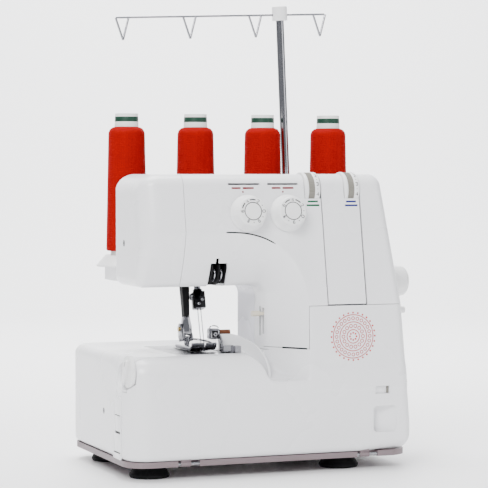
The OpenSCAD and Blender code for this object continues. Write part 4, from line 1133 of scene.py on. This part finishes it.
def build_small_parts(mats):
    """Screws, black strips painted as shade in slots and gaps, latch surround, stitch dial and the looper cover's
    inner parts.
    """
    b = Builder()
    screw(b, (19.0, 74, 223), (-1, 0, 0), 2.4)
    screw(b, (0.0, 80, 60), (-1, 0, 0), 2.2)
    for x in (165.0, 262.0):
        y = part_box("rear_cover")[1].y / MM - CORNER[1]
        screw(b, (x, y, 150.0), (0, 1, 0), 2.6)
    b.object("screw_heads", [mats["steel"], mats["black"]], "machine", ("cover_screws",))
    # Black strips painted as the shade in the gap along the arch and in the slot at the foot of the sweep
    b = Builder()
    path = []
    for x in np.linspace(102.7, 153.5, 30):
        dx = max(x - 105.0, 0.0) / 80.0
        z = 150 + 84 * (1 - dx ** 2.4) ** (1 / 2.4)
        path.append((x, float(fascia_y(z)) + 0.55, z + 0.1))
    b.tube(path, [0.25] + [0.75] * 27 + [0.5, 0.25], 8, 0)
    path = [(x, surface_y(x, 120.7) + 0.25, 120.7) for x in np.linspace(166.5, 183.0, 12)]
    b.tube(path, 0.85, 8, 0)
    # black sheet painted as the shade behind the presser lifter's slot
    b.block((152.4, 52.4, 131.0), (157.8, 52.7, 160.0), 0.0)
    b.object("gap_shade_strips", [mats["black"]], "machine")
    # Raised strip that carries the side latch, with its window and lower tab; black strips in it are painted shade
    # of the slot above the tab and of the gap round the latch button
    b = Builder()
    outline = []
    for cy, cz, a0 in ((40.5, 73.5, 0), (28.5, 73.5, 90)):
        for a in np.linspace(a0, a0 + 90, 8):
            outline.append((cy + 5.5 * math.cos(math.radians(a)), cz + 5.5 * math.sin(math.radians(a))))
    b.prism(outline + [(23.0, 61.0), (46.0, 61.0)], -0.9, 0.6, "x", 0.6)
    b.block((-0.9, 41.6, 43.0), (0.6, 46.0, 61.2), 0.2)
    b.block((-0.9, 23.0, 43.0), (0.6, 25.0, 61.2), 0.2)
    b.block((-0.9, 23.0, 20.6), (0.6, 46.0, 43.2), 0.3)
    b.block((-1.7, 23.4, 18.8), (0.4, 45.6, 24.8), 0.9)
    # black strip: painted shade of the slot just above the lower tab
    b.block((-1.15, 25.0, 24.7), (0.2, 43.6, 25.7), 0.1, 1)
    # black sheet filling the window behind the button: painted shade of the gap round the latch button
    b.block((-0.1, 24.8, 43.0), (0.3, 41.8, 61.2), 0.0, 1)
    b.object("latch_strip", [mats["shell"], mats["black"]], "machine")
    b = Builder()
    b.block((-1.1, 25.6, 45.5), (-0.2, 41.1, 60.3), 0.35)
    b.block((-0.4, 31.3, 46.6), (3.0, 38.9, 59.4), 0.2)
    b.block((3.0, 29.2, 44.7), (4.8, 40.8, 63.3), 0.3)
    b.object("latch_button", [mats["shell"]], "latch", ("side_latch",))
    # Stitch dial in its recess
    b = Builder()
    c = (6.0, 19.0, 103.0)
    b.lathe([(0, -12), (3.9, -12), (3.9, -2), (15.4, -2), (15.9, -1.5), (15.9, 1.2), (15.2, 1.9), (0, 2.1)],
            c, (-1, 0, 0), 80, ripple=lambda a, h, j: -0.25 * max(0, math.cos(30 * a)) if j in (4, 5) else 0)
    ridge = Matrix.Translation(c) @ Matrix.Rotation(math.radians(30), 4, "X")
    b.prism([(-3.2, -13.2), (3.2, -13.2), (3.4, 6.0), (1.6, 13.6), (-1.6, 13.6), (-3.4, 6.0)], -5.6, -1.6, "x",
            1.2, 0, ridge)
    ribbon(b, [(0, 6.5), (0, 12.0)], 0.7, axes_frame(ridge @ Vector((-5.6, 0, 0)), (-1, 0, 0),
                                                     ridge.to_3x3() @ Vector((0, 0, 1))), 0.1, 1)
    b.object("stitch_selector", [mats["knob"], mats["black_ink"]], "stitch_knob", ("stitch_dial",))
    # Looper cover: lugs, window back and pocket
    b = Builder()
    for x in (53.0, 239.0):
        lug = len(b.faces)
        b.lathe([(1.56, 0), (2.5, 0), (2.7, 0.3), (2.7, 9.7), (2.5, 10), (1.56, 10), (1.56, 0)],
                (x, 5.2, 15.0), (1, 0, 0), 28)
        b.block((x, 2.9, 17.4), (x + 10, 6.2, 26.4), 0.5)
        b.mats[lug:] = [1] * (len(b.faces) - lug)
    b.block((252, 2.5, 72.5), (271, 3.7, 84), 0.3)
    b.block((254.4, 1.6, 74.6), (257.4, 2.6, 81.8), 0.3)
    b.block((264.6, 1.5, 76.0), (265.6, 2.6, 81.8), 0.2)
    b.object("cover_inner_parts", [mats["shell"], mats["tray"]], "cover")
    b = Builder()
    b.block((266.6, 1.7, 74.8), (268.6, 2.7, 81.9), 0.2)
    b.object("latch_shadow", [mats["band"]], "cover")


BEVELS = {"lower_knife": 0.4, "foot_lifter": 0.5, "base_tray": 0.6, "spool_stand": 0.8,
          "power_inlet": 0.3, "power_switch": 0.4, "needle_plate": 0.25, "knife_knob": 0.4, "motor": 0.6,
          "frame_casting": 0.8, "pole_cap": 0.5, "length_button": 0.5, "rubber_feet": 0.6, "handwheel": 0.5,
          "spool_holders": 0.4}


def bevel_nodes():
    """Softens the edges of CAD nodes that show, without touching their meshes."""
    for name, width in BEVELS.items():
        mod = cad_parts[name].modifiers.new("soft_edges", "BEVEL")
        mod.width = width * MM
        mod.segments = 2
        mod.limit_method = "ANGLE"
        mod.angle_limit = math.radians(40)
        mod.harden_normals = False




# ---- studio ----

def build_camera():
    data = bpy.data.cameras.new("camera")
    data.sensor_width = 36.0
    data.lens = 148.78
    cam = bpy.data.objects.new("camera", data)
    bpy.context.scene.collection.objects.link(cam)
    cam.location = place((-578.65, -1794.22, 292.65))
    cam.rotation_euler = (math.radians(87.94), 0.0, math.radians(-21.15))
    bpy.context.scene.camera = cam


def area_light(name, location, target, size, power, colour=(1, 1, 1)):
    data = bpy.data.lights.new(name, "AREA")
    data.shape = "RECTANGLE"
    data.size, data.size_y = size
    data.energy = power
    data.color = colour
    light = bpy.data.objects.new(name, data)
    bpy.context.scene.collection.objects.link(light)
    light.location = location
    direction = Vector(target) - Vector(location)
    light.rotation_euler = direction.to_track_quat("-Z", "Y").to_euler()


def build_studio():
    """A pale floor that curves up far behind, and soft light from above, left and right."""
    points, faces = [], []
    profile = [(-2600.0, 0.0), (2000.0, 0.0)]
    profile += [(2000.0 + 900 * math.sin(a), 900 - 900 * math.cos(a))
                for a in np.linspace(0.1, math.pi / 2, 12)] + [(2900.0, 3200.0)]
    turn = Matrix.Rotation(math.radians(-21.15), 3, "Z")
    for x in np.linspace(-3800, 3800, 9):
        for y, z in profile:
            points.append(turn @ Vector((x, y, 0)) + Vector((163, 101.5, z - 0.2)))
    n = len(profile)
    for i in range(8):
        for j in range(n - 1):
            faces.append((i * n + j, (i + 1) * n + j, (i + 1) * n + j + 1, i * n + j + 1))
    mat, tree, shader = node_material("studio_floor", (0.93, 0.93, 0.935), 0.5, spec=0.2)
    soft = noise(tree, coordinates(tree), 3.0)
    tree.links.new(remap(tree, soft, 0.45, 0.55), shader.inputs["Roughness"])
    mesh = bpy.data.meshes.new("studio_floor")
    mesh.from_pydata([tuple(p) for p in place(points)], [], faces)
    mesh.materials.append(mat)
    mesh.polygons.foreach_set("use_smooth", np.ones(len(mesh.polygons), dtype=bool))
    floor = bpy.data.objects.new("studio_floor", mesh)
    bpy.context.scene.collection.objects.link(floor)
    world = bpy.data.worlds.new("studio_world")
    world.use_nodes = True
    world.node_tree.nodes["Background"].inputs["Color"].default_value = (0.93, 0.95, 1.0, 1.0)
    world.node_tree.nodes["Background"].inputs["Strength"].default_value = 0.5
    bpy.context.scene.world = world
    target = (0.0, 0.0, 0.17)
    area_light("key", (-1.3, -1.6, 1.5), target, (1.0, 1.0), 68.0)
    area_light("fill", (1.5, -1.6, 0.7), target, (1.2, 1.2), 12.0)
    area_light("top", (-0.1, 0.25, 1.8), target, (1.2, 0.9), 60.0)
    area_light("backdrop", (0.2, 0.9, 2.0), (1.0, 2.7, 0.9), (2.4, 1.0), 170.0)


materials = make_materials()
build_camera()
build_studio()
finish_nodes(materials)
bevel_nodes()
build_casings(materials)
for build in (build_dials, build_looper_wheels, build_cones, build_prints, build_takeup,
              build_needle_clamp, build_presser, build_spring, build_knife_arm, build_guard, build_small_parts):
    build(materials)
